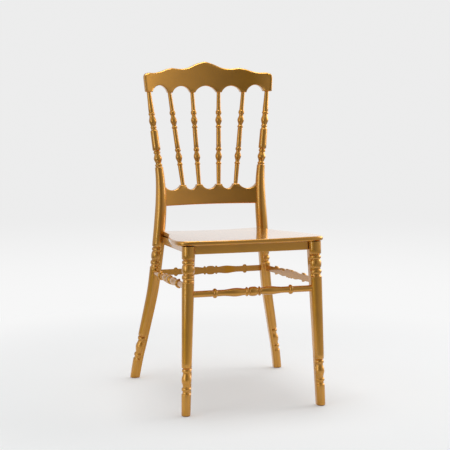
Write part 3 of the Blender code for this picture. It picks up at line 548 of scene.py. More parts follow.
# %% The sloping frame of the seat
seat_front_height = 0.4595
seat_front_y = -0.2255
seat_rear_y = 0.1930
seat_pitch = 0.0580
seat_thickness = 0.0135
leg_top_y = -0.2036
post_seat_y = 0.1800


def seat_underside(y):
    return seat_front_height - seat_thickness + seat_pitch * (seat_front_y - y)


seat_turn = Matrix.Rotation(-math.atan(seat_pitch), 3, "X")
seat_origin = Vector((0.0, 0.0, seat_underside(0.0)))


def on_seat(x, y, z):
    return seat_origin + seat_turn @ Vector((x, y, z))


print("seat falls by", round(seat_underside(seat_front_y) - seat_underside(seat_rear_y), 4), "m")


# %% [markdown]
# ## Centre lines
# A front leg is straight and splays a little. A rear post bends twice, so its line is a table
# of heights and places that were measured in the photograph, joined by smooth cubic pieces. A
# Bezier curve would look the same, but its handles aren't sizes that can be measured.

# %% Centre lines of the legs and posts
leg_top_x = 0.1740
leg_top_height = seat_underside(leg_top_y)
post_seat_height = seat_underside(post_seat_y)
square_over_seat = 0.0125
post_round_start = post_seat_height + square_over_seat
crest_foot = 0.8310

post_line = [
    (0.000, 0.2215, 0.2264),
    (0.060, 0.2126, 0.2184),
    (0.120, 0.2008, 0.2105),
    (0.180, 0.1892, 0.2029),
    (0.220, 0.1815, 0.1980),
    (0.260, 0.1745, 0.1933),
    (0.300, 0.1694, 0.1891),
    (0.350, 0.1644, 0.1847),
    (0.400, 0.1594, 0.1812),
    (0.460, 0.1540, 0.1786),
    (0.520, 0.1503, 0.1791),
    (0.580, 0.1507, 0.1828),
    (0.630, 0.1549, 0.1868),
    (0.680, 0.1607, 0.1911),
    (0.730, 0.1662, 0.1952),
    (0.780, 0.1718, 0.1999),
    (0.834, 0.1774, 0.2054),
]


def smooth_curve(rows, x, column=1):
    """Value of a smooth curve through the rows, by cubic pieces, at x."""
    xs = [row[0] for row in rows]
    ys = [row[column] for row in rows]
    index = min(max(int(np.searchsorted(xs, x)) - 1, 0), len(xs) - 2)

    def slope(k):
        before = max(k - 1, 0)
        after = min(k + 1, len(xs) - 1)
        return (ys[after] - ys[before]) / (xs[after] - xs[before])

    width = xs[index + 1] - xs[index]
    share = (x - xs[index]) / width
    square = share * share
    cube = square * share
    return (
        (2.0 * cube - 3.0 * square + 1.0) * ys[index]
        + (cube - 2.0 * square + share) * width * slope(index)
        + (-2.0 * cube + 3.0 * square) * ys[index + 1]
        + (cube - square) * width * slope(index + 1)
    )


def leg_axis(side, height):
    share = height / leg_top_height
    x = front_foot_x + (leg_top_x - front_foot_x) * share
    y = front_foot_y + (leg_top_y - front_foot_y) * share
    return Vector((side * x, y, height))


def post_axis(side, height):
    x = smooth_curve(post_line, height, 1)
    y = smooth_curve(post_line, height, 2)
    return Vector((side * x, y, height))


print("leg top", [round(value, 4) for value in leg_axis(1, leg_top_height)])
print("post at the seat", [round(value, 4) for value in post_axis(1, post_seat_height)])


# %% [markdown]
# ## Legs
# A leg is turned round three quarters of its girth, and stays square toward the middle of the
# chair, where the two halves of the mould part. The rings run round the turned part and stop
# dead at the square. A spun profile with a block joined to it would need a clean-up at every
# ring. So a section is described by its angle instead: a plain outline, circle or square, and
# a weight that says how much of the ring's relief shows at that angle.

# %% Section of a leg
foot_height = 0.0019
settling_height = 0.03
square_share = 0.97
corner_power = 9.0
corner_end = 78.0
section_end = 345.0
round_columns = 45

# The rings rise over the first two of their angles and sink over the last two, and the square
# lies between its two. 0 degrees points across to the middle of the chair, and 90 along to it.
front_rings = (93.0, 99.0, 342.0, 350.0)
front_square = (-14.0, 104.0)
rear_rings = (64.0, 70.0, 326.0, 332.0)
rear_square = (-14.0, 66.0)
no_square = (400.0, 400.0)

# Every 5 degrees over the flat, every 3 round the square corner, and every 6 round the rest
section_angles = [-15.0 + 5.0 * step for step in range(7)]
section_angles += [18.0 + 3.0 * step for step in range(20)]
for step in range(round_columns):
    section_angles.append(corner_end + (section_end - corner_end) * step / round_columns)


def plain_outline(angle, square_from, square_to):
    """Distance to the outline of a unit leg at an angle in degrees, a square corner included."""
    if square_from <= angle <= square_to:
        cosine = abs(math.cos(math.radians(angle)))
        sine = abs(math.sin(math.radians(angle)))
        girth = cosine ** corner_power + sine ** corner_power
        return square_share / girth ** (1.0 / corner_power)
    return 1.0


def ring_weight(angle, rings):
    up_from, up_to, down_from, down_to = rings
    return smooth_step(up_from, up_to, angle) * (1.0 - smooth_step(down_from, down_to, angle))


def leg_row(centre, direction, side, toward_middle, ring, plain, rings, square):
    """One row of points round a leg, square to its direction."""
    normal = direction.normalized()
    across = Vector((-side, 0.0, 0.0))
    across = (across - normal * across.dot(normal)).normalized()
    along = Vector((0.0, toward_middle, 0.0))
    along = (along - normal * along.dot(normal) - across * along.dot(across)).normalized()
    row = []
    for angle in section_angles:
        relief = (ring - plain) * ring_weight(angle % 360.0, rings)
        reach = plain * plain_outline(angle, *square) + relief
        turn = math.radians(angle)
        row.append(centre + across * (reach * math.cos(turn)) + along * (reach * math.sin(turn)))
    return row


def settled(direction, height):
    """The foot is cut level, and the rows turn square to the leg above it."""
    share = min(1.0, max(0.0, (height - foot_height) / settling_height))
    return Vector((0.0, 0.0, 1.0)).lerp(direction.normalized(), share)


print("points round a leg", len(section_angles))


# %% [markdown]
# ### Foot and knee
# The same motifs come on all four legs: over a plain foot a ball between two beads, and under
# the seat a knee of beads and a ball. Their depth is measured in from the plain taper, so that
# one list serves front and rear legs. Rings joined on as separate bodies would leave seams.

# %% Foot and knee motifs
foot_motif = 0.0950
groove = 0.0032
least_step = 0.00012


def taper(radius, rate, height):
    return radius + rate * height


def foot_rows(radius, rate):
    centre = foot_motif
    full = taper(radius, rate, centre)
    base = full - groove
    low = taper(radius, rate, 0.0)
    rows = [(foot_height, low - 0.0005)]
    rows += fillet(foot_height + 0.0001, low - 0.0004, foot_height + 0.0010, low, 4)
    rows.append((centre - 0.0388, full - 0.0005))
    rows += fillet(centre - 0.0375, full - 0.0006, centre - 0.0350, base + 0.0004, 5)
    rows.append((centre - 0.0320, base))
    rows += bead(centre - 0.0245, 0.0052, base, base + 0.0026, 14)
    rows.append((centre - 0.0172, base))
    rows += vase(centre, 0.0162, base, base + 0.0033, 28)
    rows.append((centre + 0.0172, base))
    rows += bead(centre + 0.0245, 0.0052, base, base + 0.0026, 14)
    rows.append((centre + 0.0306, base + 0.0002))
    rows += fillet(centre + 0.0310, base + 0.0004, centre + 0.0330, full + 0.0002, 5)
    return rows


def knee_rows(centre, radius, rate):
    full = taper(radius, rate, centre)
    base = full - groove
    rows = [(centre - 0.0358, taper(radius, rate, centre - 0.0358))]
    rows += fillet(centre - 0.0350, full - 0.0004, centre - 0.0325, base + 0.0004, 5)
    rows.append((centre - 0.0290, base))
    rows += bead(centre - 0.0212, 0.0060, base, base + 0.0028, 14)
    rows.append((centre - 0.0135, base))
    rows += bead(centre, 0.0112, base + 0.0001, base + 0.0030, 20)
    rows.append((centre + 0.0118, base))
    rows += bead(centre + 0.0177, 0.0052, base, base + 0.0028, 12)
    rows.append((centre + 0.0240, base))
    rows += fillet(centre + 0.0246, base + 0.0003, centre + 0.0272, full + 0.0003, 5)
    return rows


def tidy(rows):
    """Sort a profile by height and drop rows that fall on the one before."""
    kept = []
    for height, radius in sorted(rows):
        if not kept or height - kept[-1][0] > least_step:
            kept.append((height, radius))
    return kept


print("rows of a foot and a knee", len(foot_rows(0.012, 0.0)), len(knee_rows(0.4, 0.012, 0.0)))


# %% [markdown]
# ### Front legs
# A front leg thins toward the foot and ends under the panel. Its last row is moved onto the
# sloping underside of the seat, a hair below it. Cutting the leg with a Boolean would give the
# same face, but might leave slivers.

# %% Front legs
sides = ((-1, "left"), (1, "right"))
leg_radius = 0.0121
leg_taper = 0.0128
leg_rows_apart = 0.012
lean_height = 0.4
front_knee_drop = 0.0600
leg_gap = 0.0003


def make_front_leg(name, side):
    profile = foot_rows(leg_radius, leg_taper)
    profile += knee_rows(leg_top_height - front_knee_drop, leg_radius, leg_taper)
    top = leg_top_height - 0.0010
    profile.append((top, taper(leg_radius, leg_taper, top)))
    direction = leg_axis(side, lean_height) - leg_axis(side, 0.0)
    rows = []
    for height, ring in spaced(tidy(profile), leg_rows_apart):
        plain = taper(leg_radius, leg_taper, height)
        tilt = settled(direction, height)
        centre = leg_axis(side, height)
        rows.append(leg_row(centre, tilt, side, 1.0, ring, plain, front_rings, front_square))
    normal = seat_turn @ Vector((0.0, 0.0, 1.0))
    base = on_seat(0.0, 0.0, -leg_gap)
    drops = [(base - point).dot(normal) / normal.z for point in rows[-1]]
    rows[-1] = [point + Vector((0.0, 0.0, drop)) for point, drop in zip(rows[-1], drops)]
    make_skin(name, rows)


for side, word in sides:
    make_front_leg("front_" + word + "_leg", side)


# %% [markdown]
# ## Rear posts
# A rear post is one bent piece from the floor to the crest rail. Under the seat it is a leg like
# the others, with its square toward the front and the middle. Over the seat it is round all the
# way: a thick plain shaft that thins upward, then a ball, a long cylinder, a second ball and a
# slim neck. Both parts use the rows of a leg, so no seam shows where the one becomes the other.

# %% Rear posts
post_radius = 0.0132
post_taper = 0.0088
post_rows_apart = 0.010
post_reach = 0.005
rear_knee_drop = 0.0565
post_pattern_height = crest_foot - post_round_start
neck_radius = 0.0063
neck_pin = 0.012


def post_rows_above():
    rows = [
        (0.0000, 0.0170),
        (0.0300, 0.0170),
        (0.0600, 0.0167),
        (0.0950, 0.0157),
        (0.1250, 0.0144),
        (0.1550, 0.0130),
        (0.1740, 0.0122),
        (0.1842, 0.0119),
    ]
    rows += fillet(0.1845, 0.0119, 0.1862, 0.0098, 4)
    rows += bead(0.1905, 0.0030, 0.0094, 0.0105, 8)
    rows.append((0.1950, 0.0082))
    rows += vase(0.2095, 0.0125, 0.0082, 0.0119, 26)
    rows.append((0.2225, 0.0082))
    rows += bead(0.2270, 0.0038, 0.0082, 0.0101, 10)
    rows.append((0.2318, 0.0088))
    rows += fillet(0.2322, 0.0090, 0.2345, 0.0116, 4)
    rows.append((0.2885, 0.0109))
    rows += fillet(0.2888, 0.0109, 0.2908, 0.0086, 4)
    rows.append((0.2940, 0.0078))
    rows += bead(0.2985, 0.0030, 0.0078, 0.0091, 8)
    rows += vase(0.3165, 0.0135, 0.0078, 0.0108, 26)
    rows += bead(0.3367, 0.0038, 0.0077, 0.0095, 10)
    rows += [
        (0.3420, 0.0082),
        (0.3520, 0.0081),
        (0.3680, 0.0073),
        (0.3860, 0.0066),
        (post_pattern_height, neck_radius),
    ]
    rows.append((post_pattern_height + neck_pin, neck_radius))
    return [(post_round_start + rise, radius) for rise, radius in rows]


def post_direction(side, height):
    return post_axis(side, height + post_reach) - post_axis(side, height - post_reach)


def make_rear_post(name, side):
    below = foot_rows(post_radius, post_taper)
    below += knee_rows(post_seat_height - rear_knee_drop, post_radius, post_taper)
    below.append((post_seat_height + 0.002, taper(post_radius, post_taper, post_seat_height)))
    rows = []
    for height, ring in spaced(tidy(below), post_rows_apart):
        plain = taper(post_radius, post_taper, height)
        tilt = settled(post_direction(side, height), height)
        centre = post_axis(side, height)
        rows.append(leg_row(centre, tilt, side, -1.0, ring, plain, rear_rings, rear_square))
    for height, ring in spaced(tidy(post_rows_above()), post_rows_apart):
        tilt = post_direction(side, height)
        centre = post_axis(side, height)
        rows.append(leg_row(centre, tilt, side, -1.0, ring, ring, rear_rings, no_square))
    make_skin(name, rows)


for side, word in sides:
    make_rear_post(word + "_rear_post", side)


# %% [markdown]
# ## Boards of the back
# The crest rail and the lower rail are thick bowed boards. Each is a sheet of points, front and
# back, whose half thickness depends on the way to the nearest edge: full in the middle, and
# falling along a quarter circle where the edge is rolled over. The ends of the crest rail fall
# away in the same manner over the whole thickness, like the nose of a cushion. A bevel on a
# sawn outline would do for a plain board, but bevels run into each other at the cusps.

# %% Roll the edges of a board
roll_rows = 7
face_rows = 8
thinnest = 0.0006
rolls_in_height = 2.5
hair = 1e-9
least_square = 1e-12


def way_to(chain, xs, heights):
    """Distance from each point of a sheet to a chain of points."""
    nearest = np.full(xs.shape, 1.0)
    for (start_x, start_height), (end_x, end_height) in zip(chain, chain[1:]):
        run_x = end_x - start_x
        run_height = end_height - start_height
        square = max(run_x * run_x + run_height * run_height, least_square)
        share = ((xs - start_x) * run_x + (heights - start_height) * run_height) / square
        share = np.clip(share, 0.0, 1.0)
        gap = np.hypot(xs - start_x - share * run_x, heights - start_height - share * run_height)
        nearest = np.minimum(nearest, gap)
    return nearest


def roll_drop(way, roll):
    """How far a rolled edge lies under the face."""
    inside = np.clip(roll - way, 0.0, roll)
    return roll - np.sqrt(roll * roll - inside * inside)


def board_columns(tops, bottoms, top_roll, bottom_roll):
    """Heights for each station, closer together where the edges roll over."""
    quarter = math.pi / 2.0
    curl = [1.0 - math.cos(quarter * step / roll_rows) for step in range(roll_rows + 1)]
    columns = []
    for (x, top), (_, bottom) in zip(tops, bottoms):
        squeeze = min(1.0, (top - bottom) / (rolls_in_height * max(top_roll, bottom_roll)))
        low = [bottom + bottom_roll * squeeze * part for part in curl]
        high = [top - top_roll * squeeze * part for part in curl]
        face = [low[-1] + (high[-1] - low[-1]) * step / face_rows for step in range(1, face_rows)]
        columns.append([(x, height) for height in low + face + list(reversed(high))])
    return columns


print("rows up a board", 2 * (roll_rows + 1) + face_rows - 1)


# %% Skin a board
def board_depths(sheet, tops, bottoms, thickness, top_roll, bottom_roll, noses, nose_reach):
    """Half the thickness at each point of the sheet."""
    xs = sheet[:, :, 0]
    heights = sheet[:, :, 1]
    half = np.full(xs.shape, thickness / 2.0)
    for nose in noses:
        inside = np.clip(1.0 - way_to(nose, xs, heights) / nose_reach, 0.0, 1.0)
        half = half * (1.0 - inside ** 3) ** (1.0 / 3.0)
    plain = [point for point in tops if not noses or abs(point[0]) <= noses[0][0][0]]
    half = half - roll_drop(way_to(plain, xs, heights), top_roll)
    plain = [point for point in bottoms if not noses or abs(point[0]) <= noses[0][-1][0]]
    half = half - roll_drop(way_to(plain, xs, heights), bottom_roll)
    return np.maximum(half, thinnest)


def rolled_board(tops, bottoms, thickness, rolls, surface_y, noses=(), nose_reach=0.0):
    """A board from equal chains of (x, height) points along its top and its bottom."""
    sheet = np.array(board_columns(tops, bottoms, *rolls))
    half = board_depths(sheet, tops, bottoms, thickness, *rolls, noses, nose_reach)
    bm = bmesh.new()
    faces = []
    for sign in (-1.0, 1.0):
        grid = []
        for column, depths in zip(sheet, half):
            row = []
            for (x, height), depth in zip(column, depths):
                row.append(bm.verts.new((x, surface_y(x, height, sign * depth), height)))
            grid.append(row)
        for first, second in zip(grid, grid[1:]):
            for index in range(len(first) - 1):
                bm.faces.new((first[index], second[index], second[index + 1], first[index + 1]))
        faces.append(grid)
    front, back = faces
    for edge in (0, -1):
        for corners in zip(front, front[1:], back[1:], back):
            bm.faces.new([corner[edge] for corner in corners])
    for end in (0, -1):
        for corners in zip(front[end], front[end][1:], back[end][1:], back[end]):
            bm.faces.new(corners)
    return bm


# %% [markdown]
# ### Arches and valleys
# Every arch of the crest rail and every valley of the lower rail is an arc of a circle between
# two spindles. One half of a board is laid out, and the other is its mirror image, so that both
# come out alike. The Mirror modifier does the same, but leaves the join to be merged.

# %% Arches, and a chain for both halves
def circle_arch(start, end, foot, rise, steps):
    """Points along an arc that springs from the foot height, or hangs if rise is below 0."""
    centre = (start + end) / 2.0
    half = (end - start) / 2.0
    radius = (half * half + rise * rise) / (2.0 * abs(rise))
    reach = math.asin(half / radius)
    sign = math.copysign(1.0, rise)
    points = []
    for step in range(steps + 1):
        angle = reach * (2.0 * step / steps - 1.0)
        height = abs(rise) - radius * (1.0 - math.cos(angle))
        points.append((centre + radius * math.sin(angle), foot + sign * height))
    return points


def right_half(chain):
    return [point for point in chain if point[0] > -hair]


def mirrored(chain):
    """A chain for the right half, with its mirror image before it."""
    return [(-x, height) for x, height in reversed(chain) if x > hair] + chain


def bowed_y(middle, bow, lean, x, rise, depth):
    """Place of a point on a board whose middle bows back and whose top leans back."""
    slope = math.cos(math.atan(2.0 * bow * abs(x)))
    return middle - bow * x * x + lean * rise + depth / slope


print("an arch of two steps", circle_arch(-1.0, 1.0, 0.0, 1.0, 2))


# %% [markdown]
# ### Crest rail
# The top edge waves: a tall hump in the middle, a low one on each side and a shoulder at each
# end. The underside has five arches. Between them short cusps meet the spindles, and an ear at
# each end sits on a rear post. The wave is a table of rises over the arch feet, because the
# photograph can be measured in just that way.

# %% Sizes of the crest rail
crest_thickness = 0.0200
crest_top_roll = 0.0044
crest_arch_roll = 0.0030
crest_plan_y = 0.2402
crest_plan_bow = 1.16
crest_lean = 0.16
arch_rise = 0.0188
arch_steps = 32
cusp_half = 0.0075
inner_spindle_top = 0.0400
outer_spindle_top = 0.1110
post_top_x = post_axis(1, crest_foot).x
ear_inner = post_top_x - 0.0098
ear_outer = post_top_x + 0.0106
ear_steps = 12
ear_lift = 0.0030
ear_lift_haste = 1.8
crest_end = post_top_x + 0.0160
crest_corner = 0.0120
corner_height = 0.0452
nose_reach = 0.0095

crest_wave = [
    (-0.0150, 0.0858),
    (0.0000, 0.0890),
    (0.0150, 0.0858),
    (0.0300, 0.0805),
    (0.0450, 0.0735),
    (0.0600, 0.0698),
    (0.0757, 0.0685),
    (0.0900, 0.0699),
    (0.1050, 0.0711),
    (0.1200, 0.0676),
    (0.1340, 0.0627),
    (0.1500, 0.0587),
    (0.1600, 0.0575),
    (0.1760, 0.0580),
    (crest_end - crest_corner, corner_height + crest_corner),
]

# The side of an ear: way in from the end, and rise over the foot
ear_side = [
    (0.0054, 0.0000),
    (0.0041, 0.0004),
    (0.0033, 0.0012),
    (0.0029, 0.0026),
    (0.0024, 0.0090),
    (0.0018, 0.0170),
    (0.0011, 0.0260),
    (0.0004, 0.0350),
    (0.0000, 0.0430),
]
print("crest rail", round(2.0 * crest_end, 4), "m long")


# %% Crest rail
def crest_y(x, height, depth):
    return bowed_y(crest_plan_y, crest_plan_bow, crest_lean, x, height - crest_foot, depth)


def crest_top(x):
    """The wave, and beyond it the round corner at the end."""
    inside = x - (crest_end - crest_corner)
    if inside <= 0.0:
        return crest_foot + smooth_curve(crest_wave, x)
    over = math.sqrt(max(0.0, crest_corner * crest_corner - inside * inside))
    return crest_foot + corner_height + over


def crest_bottom_chain():
    """Right half of the underside, from the middle out and up the side of the ear."""
    inner = inner_spindle_top - cusp_half
    chain = right_half(circle_arch(-inner, inner, crest_foot, arch_rise, arch_steps))
    start = inner_spindle_top + cusp_half
    end = outer_spindle_top - cusp_half
    chain += circle_arch(start, end, crest_foot, arch_rise, arch_steps)
    start = outer_spindle_top + cusp_half
    for x, height in circle_arch(start, ear_inner, crest_foot, arch_rise, arch_steps):
        share = min(1.0, ear_lift_haste * (x - start) / (ear_inner - start))
        chain.append((x, height + ear_lift * share * share * (3.0 - 2.0 * share)))
    ear_foot = crest_foot + ear_lift
    for step in range(1, ear_steps):
        chain.append((ear_inner + (ear_outer - ear_inner) * step / ear_steps, ear_foot))
    ear_top = ear_side[-1][1]
    for inset, rise in ear_side:
        chain.append((crest_end - inset, ear_foot + rise - ear_lift * rise / ear_top))
    return chain


def make_crest_rail():
    bottoms = crest_bottom_chain()
    tops = [(x, crest_top(x)) for x, _ in bottoms]
    corner = [point for point in tops if point[0] > crest_end - crest_corner]
    side = [point for point in bottoms if point[0] >= ear_outer - hair]
    right_nose = corner + list(reversed(side))
    left_nose = [(-x, height) for x, height in right_nose]
    bm = rolled_board(
        mirrored(tops), mirrored(bottoms), crest_thickness, (crest_top_roll, crest_arch_roll),
        crest_y, (right_nose, left_nose), nose_reach,
    )
    finish_mesh("crest_rail", bm, gold, ["crest_rail"])


make_crest_rail()


# %% [markdown]
# ### Lower back rail
# This one is straight along the bottom. Along its top, hollow valleys leave four pedestals for
# the feet of the spindles. Its ends run into the posts. It is the same kind of board as the
# crest rail, so the same helpers make it.

# %% Lower back rail
rail_bottom = 0.5088
rail_pedestal = 0.5662
rail_valley_depth = 0.0135
valley_steps = 28
rail_thickness = 0.0180
rail_roll = 0.0028
rail_plan_y = 0.1990
rail_plan_bow = 1.02
rail_lean = 0.10
pedestal_half = 0.0085
inner_spindle_foot = 0.0298
outer_spindle_foot = 0.0799
post_x_at_rail = post_axis(1, rail_pedestal).x
rail_meets_post = post_x_at_rail - 0.0125
rail_end = post_x_at_rail - 0.0060


def rail_y(x, height, depth):
    return bowed_y(rail_plan_y, rail_plan_bow, rail_lean, x, height - rail_bottom, depth)


def make_lower_rail():
    valleys = (
        (pedestal_half - inner_spindle_foot, inner_spindle_foot - pedestal_half),
        (inner_spindle_foot + pedestal_half, outer_spindle_foot - pedestal_half),
        (outer_spindle_foot + pedestal_half, rail_meets_post),
    )
    chain = []
    for start, end in valleys:
        chain += circle_arch(start, end, rail_pedestal, -rail_valley_depth, valley_steps)
    tops = mirrored(right_half(chain) + [(rail_end, rail_pedestal)])
    bottoms = [(x, rail_bottom) for x, _ in tops]
    bm = rolled_board(tops, bottoms, rail_thickness, (rail_roll, rail_roll), rail_y)
    finish_mesh("lower_back_rail", bm, gold, ["lower_back_rail"])


make_lower_rail()


# %% [markdown]
# ## Spindles
# Four turned spindles fan out from the pedestals to the cusps. They are true turnings, so each
# is one profile spun about its own axis. Blender's Screw modifier could spin it too, but rows
# of points go straight into the same skin as the legs.

# %% Spin a profile about a line
turned_facets = 40
turned_rows_apart = 0.020


def spun(name, profile, start, end, finish=gold):
    """A turned piece: its profile is (distance along the line, radius)."""
    run = (end - start).normalized()
    side = run.orthogonal().normalized()
    other = run.cross(side)
    rows = []
    for distance, radius in profile:
        row = []
        for step in range(turned_facets):
            angle = 2.0 * math.pi * step / turned_facets
            spoke = side * math.cos(angle) + other * math.sin(angle)
            row.append(start + run * distance + spoke * radius)
        rows.append(row)
    make_skin(name, rows, finish)


# %% Spindles
spindle_pattern_length = 0.2690
spindle_foot_radius = 0.0060
spindle_top_radius = 0.0056
spindle_pin = 0.0080


def spindle_rows(length):
    rows = [(0.0000, spindle_foot_radius), (0.0530, spindle_foot_radius + 0.0008)]
    rows += bead(0.0600, 0.0032, 0.0066, 0.0083, 10)
    rows.append((0.0652, 0.0063))
    rows += vase(0.0812, 0.0140, 0.0062, 0.0098, 26)
    rows.append((0.0962, 0.0063))
    rows += bead(0.1022, 0.0050, 0.0066, 0.0086, 14)
    rows += [(0.1084, 0.0071), (0.1600, 0.0070)]
    rows += bead(0.1679, 0.0036, 0.0064, 0.0085, 12)
    rows.append((0.1728, 0.0063))
    rows += vase(0.1873, 0.0132, 0.0062, 0.0098, 26)
    rows.append((0.2018, 0.0063))
    rows += bead(0.2100, 0.0060, 0.0066, 0.0087, 14)
    rows += [(0.2170, 0.0066), (0.2270, 0.0062), (spindle_pattern_length, spindle_top_radius)]
    stretch = length / spindle_pattern_length
    rows = [(distance * stretch, radius) for distance, radius in rows]
    foot = [(-spindle_pin, spindle_foot_radius)]
    return foot + tidy(rows) + [(length + spindle_pin, spindle_top_radius)]


spindle_places = [
    (-outer_spindle_foot, -outer_spindle_top),
    (-inner_spindle_foot, -inner_spindle_top),
    (inner_spindle_foot, inner_spindle_top),
    (outer_spindle_foot, outer_spindle_top),
]
for number, (foot_x, top_x) in enumerate(spindle_places, start=1):
    foot = Vector((foot_x, rail_y(foot_x, rail_pedestal, 0.0), rail_pedestal))
    top = Vector((top_x, crest_y(top_x, crest_foot, 0.0), crest_foot))
    name = "back_spindle_" + str(number)
    profile = spaced(spindle_rows((top - foot).length), turned_rows_apart)
    spun(name, profile, foot, top)


# %% [markdown]
# ## Stretchers
# The four stretchers are turned on the outside and flat toward the middle of the chair, because
# the mould opens there. Each row is an arc that ends at the flat, with a few points across it.
# A full turning cut off by a plane would look the same, but the cut would need its own clean-up.

# %% Stretchers
stretcher_end = 0.0086
stretcher_flat = 0.0015
stretcher_pin = 0.0060
arc_columns = 40
flat_columns = 8


def stretcher_rows(length):
    half = [(0.0000, 0.0127), (0.0030, 0.0126), (0.0060, 0.0123), (0.0085, 0.0117)]
    half += fillet(0.0098, 0.0112, 0.0118, 0.0092, 4)
    half.append((0.0132, 0.0090))
    half += bead(0.0175, 0.0030, 0.0092, 0.0124, 12)
    half.append((0.0215, 0.0090))
    half += vase(0.0480, 0.0255, 0.0090, 0.0114, 26)
    half += [(0.0780, 0.0084), (0.0880, 0.0084), (0.0975, 0.0086)]
    half += bead(0.1050, 0.0052, 0.0088, 0.0129, 14)
    half += [(0.1120, 0.0086), (length / 2.0, stretcher_end)]
    half = tidy(half)
    return [(-distance, radius) for distance, radius in reversed(half[1:])] + half


def make_stretcher(name, start_member, end_member):
    """A stretcher between two members, each given as (point on its axis, radius)."""
    start_axis, start_radius = start_member
    end_axis, end_radius = end_member
    run = (end_axis - start_axis).normalized()
    start = start_axis + run * (start_radius - stretcher_pin)
    end = end_axis - run * (end_radius - stretcher_pin)
    middle = (start + end) / 2.0
    inner = Vector((-middle.x, -middle.y, 0.0))
    inner = (inner - run * inner.dot(run)).normalized()
    up = run.cross(inner)
    rows = []
    for distance, radius in spaced(stretcher_rows((end - start).length), turned_rows_apart):
        centre = middle + run * distance
        edge = math.acos(stretcher_flat / radius)
        row = []
        for step in range(arc_columns + 1):
            angle = edge + (2.0 * math.pi - 2.0 * edge) * step / arc_columns
            cosine = radius * math.cos(angle)
            sine = radius * math.sin(angle)
            row.append(centre + inner * cosine + up * sine)
        for step in range(1, flat_columns):
            row.append(row[arc_columns].lerp(row[0], step / flat_columns))
        rows.append(row)
    make_skin(name, rows)


def leg_at(side, height):
    return leg_axis(side, height), taper(leg_radius, leg_taper, height)


def post_at(side, height):
    return post_axis(side, height), taper(post_radius, post_taper, height)


front_height = 0.3185
rear_height = 0.3145
side_front_height = 0.3380
side_rear_height = 0.3150
make_stretcher("front_stretcher", leg_at(-1, front_height), leg_at(1, front_height))
make_stretcher("rear_stretcher", post_at(-1, rear_height), post_at(1, rear_height))
for side, word in sides:
    front_end = leg_at(side, side_front_height)
    rear_end = post_at(side, side_rear_height)
    make_stretcher(word + "_stretcher", front_end, rear_end)


# %% [markdown]
# ## Aprons
# Four thin boards carry the seat. The front one bows forward a little. Their lower edges are
# eased, so that they catch a thin line of light. A cube with a bevel would do for a straight
# board, but rows of one section also follow the bow and the slope of the seat.

# %% Aprons
apron_depth = 0.0225
apron_thickness = 0.0130
apron_bow = 0.0060
apron_setback = 0.0010
side_apron_inset = 0.0065
apron_ease = 0.0012
ease_middle = 0.29
apron_gap = 0.0006
bow_steps = 40


def seat_y_of(point):
    return (seat_turn.transposed() @ (point - seat_origin)).y


leg_point = leg_axis(1, leg_top_height)
post_point = post_axis(1, post_seat_height)
leg_x = leg_point.x
leg_y = seat_y_of(leg_point)
post_x = post_point.x
post_y = seat_y_of(post_point)
leg_face = taper(leg_radius, leg_taper, leg_top_height) * square_share
post_face = taper(post_radius, post_taper, post_seat_height) * square_share
print("aprons meet the legs at", [round(value, 4) for value in (leg_x, leg_y, post_x, post_y)])


# %% Make the aprons
def apron_section(outer, inner):
    """Eight points round a board between its outer and its inner face, with eased lower edges."""
    run = inner - outer
    width = run.length
    run = run.normalized()
    ease = apron_ease
    top = -leg_gap
    low = -apron_depth
    corners = [
        (0.0, top),
        (0.0, low + ease),
        (ease * ease_middle, low + ease * ease_middle),
        (ease, low),
        (width - ease, low),
        (width - ease * ease_middle, low + ease * ease_middle),
        (width, low + ease),
        (width, top),
    ]
    points = []
    for distance, height in corners:
        place = outer + run * distance
        points.append(on_seat(place.x, place.y, height))
    return points


def make_apron(name, outers, inners):
    make_skin(name, [apron_section(outer, inner) for outer, inner in zip(outers, inners)])


def front_apron_y(x, inset):
    return leg_y + apron_setback - apron_bow * (1.0 - (x / leg_x) ** 2) + inset


front_reach = leg_x - leg_face - apron_gap
xs = [front_reach * (2.0 * step / bow_steps - 1.0) for step in range(bow_steps + 1)]
make_apron(
    "front_apron",
    [Vector((x, front_apron_y(x, 0.0), 0.0)) for x in xs],
    [Vector((x, front_apron_y(x, apron_thickness), 0.0)) for x in xs],
)

rear_reach = post_x - post_face - apron_gap
half = apron_thickness / 2.0
make_apron(
    "rear_apron",
    [Vector((x, post_y + half, 0.0)) for x in (-rear_reach, rear_reach)],
    [Vector((x, post_y - half, 0.0)) for x in (-rear_reach, rear_reach)],
)

for side, word in sides:
    front_x = leg_x - apron_setback
    rear_x = post_x - side_apron_inset
    outward = Vector((side * (post_y - leg_y), front_x - rear_x, 0.0)).normalized()
    ends = []
    for y in (leg_y + leg_face + apron_gap, post_y - post_face - apron_gap):
        share = (y - leg_y) / (post_y - leg_y)
        ends.append(Vector((side * (front_x + (rear_x - front_x) * share), y, 0.0)))
    make_apron(word + "_apron", ends, [point - outward * apron_thickness for point in ends])


# %% [markdown]
# ## Seat panel
# A thin panel with a rolled upper edge and an undercut below. It is wide at the front, draws in
# to the posts, and its top is dished a little, most of all toward the back. A smooth curve
# through a few half widths gives the outline, the edge is a row of rings, and the top is filled
# with rings that shrink to the middle. A subdivided box would be quicker, but its outline would
# only come near the measured widths.

# %% Seat outline
seat_half_widths = [
    (0.1930, 0.1500),
    (0.1500, 0.1510),
    (0.0500, 0.1625),
    (0.0000, 0.1760),
    (-0.0650, 0.1925),
    (-0.1300, 0.2028),
    (-0.1650, 0.2045),
    (-0.1880, 0.2038),
    (-0.2040, 0.1988),
    (-0.2150, 0.1880),
    (-0.2210, 0.1690),
    (-0.2236, 0.1300),
    (-0.2250, 0.0650),
]
outline_steps = 8
rear_steps = 24
dish_rear = 0.0030
dish_front = 0.0010
dish_half_width = 0.1500
flattest_corner = 0.6


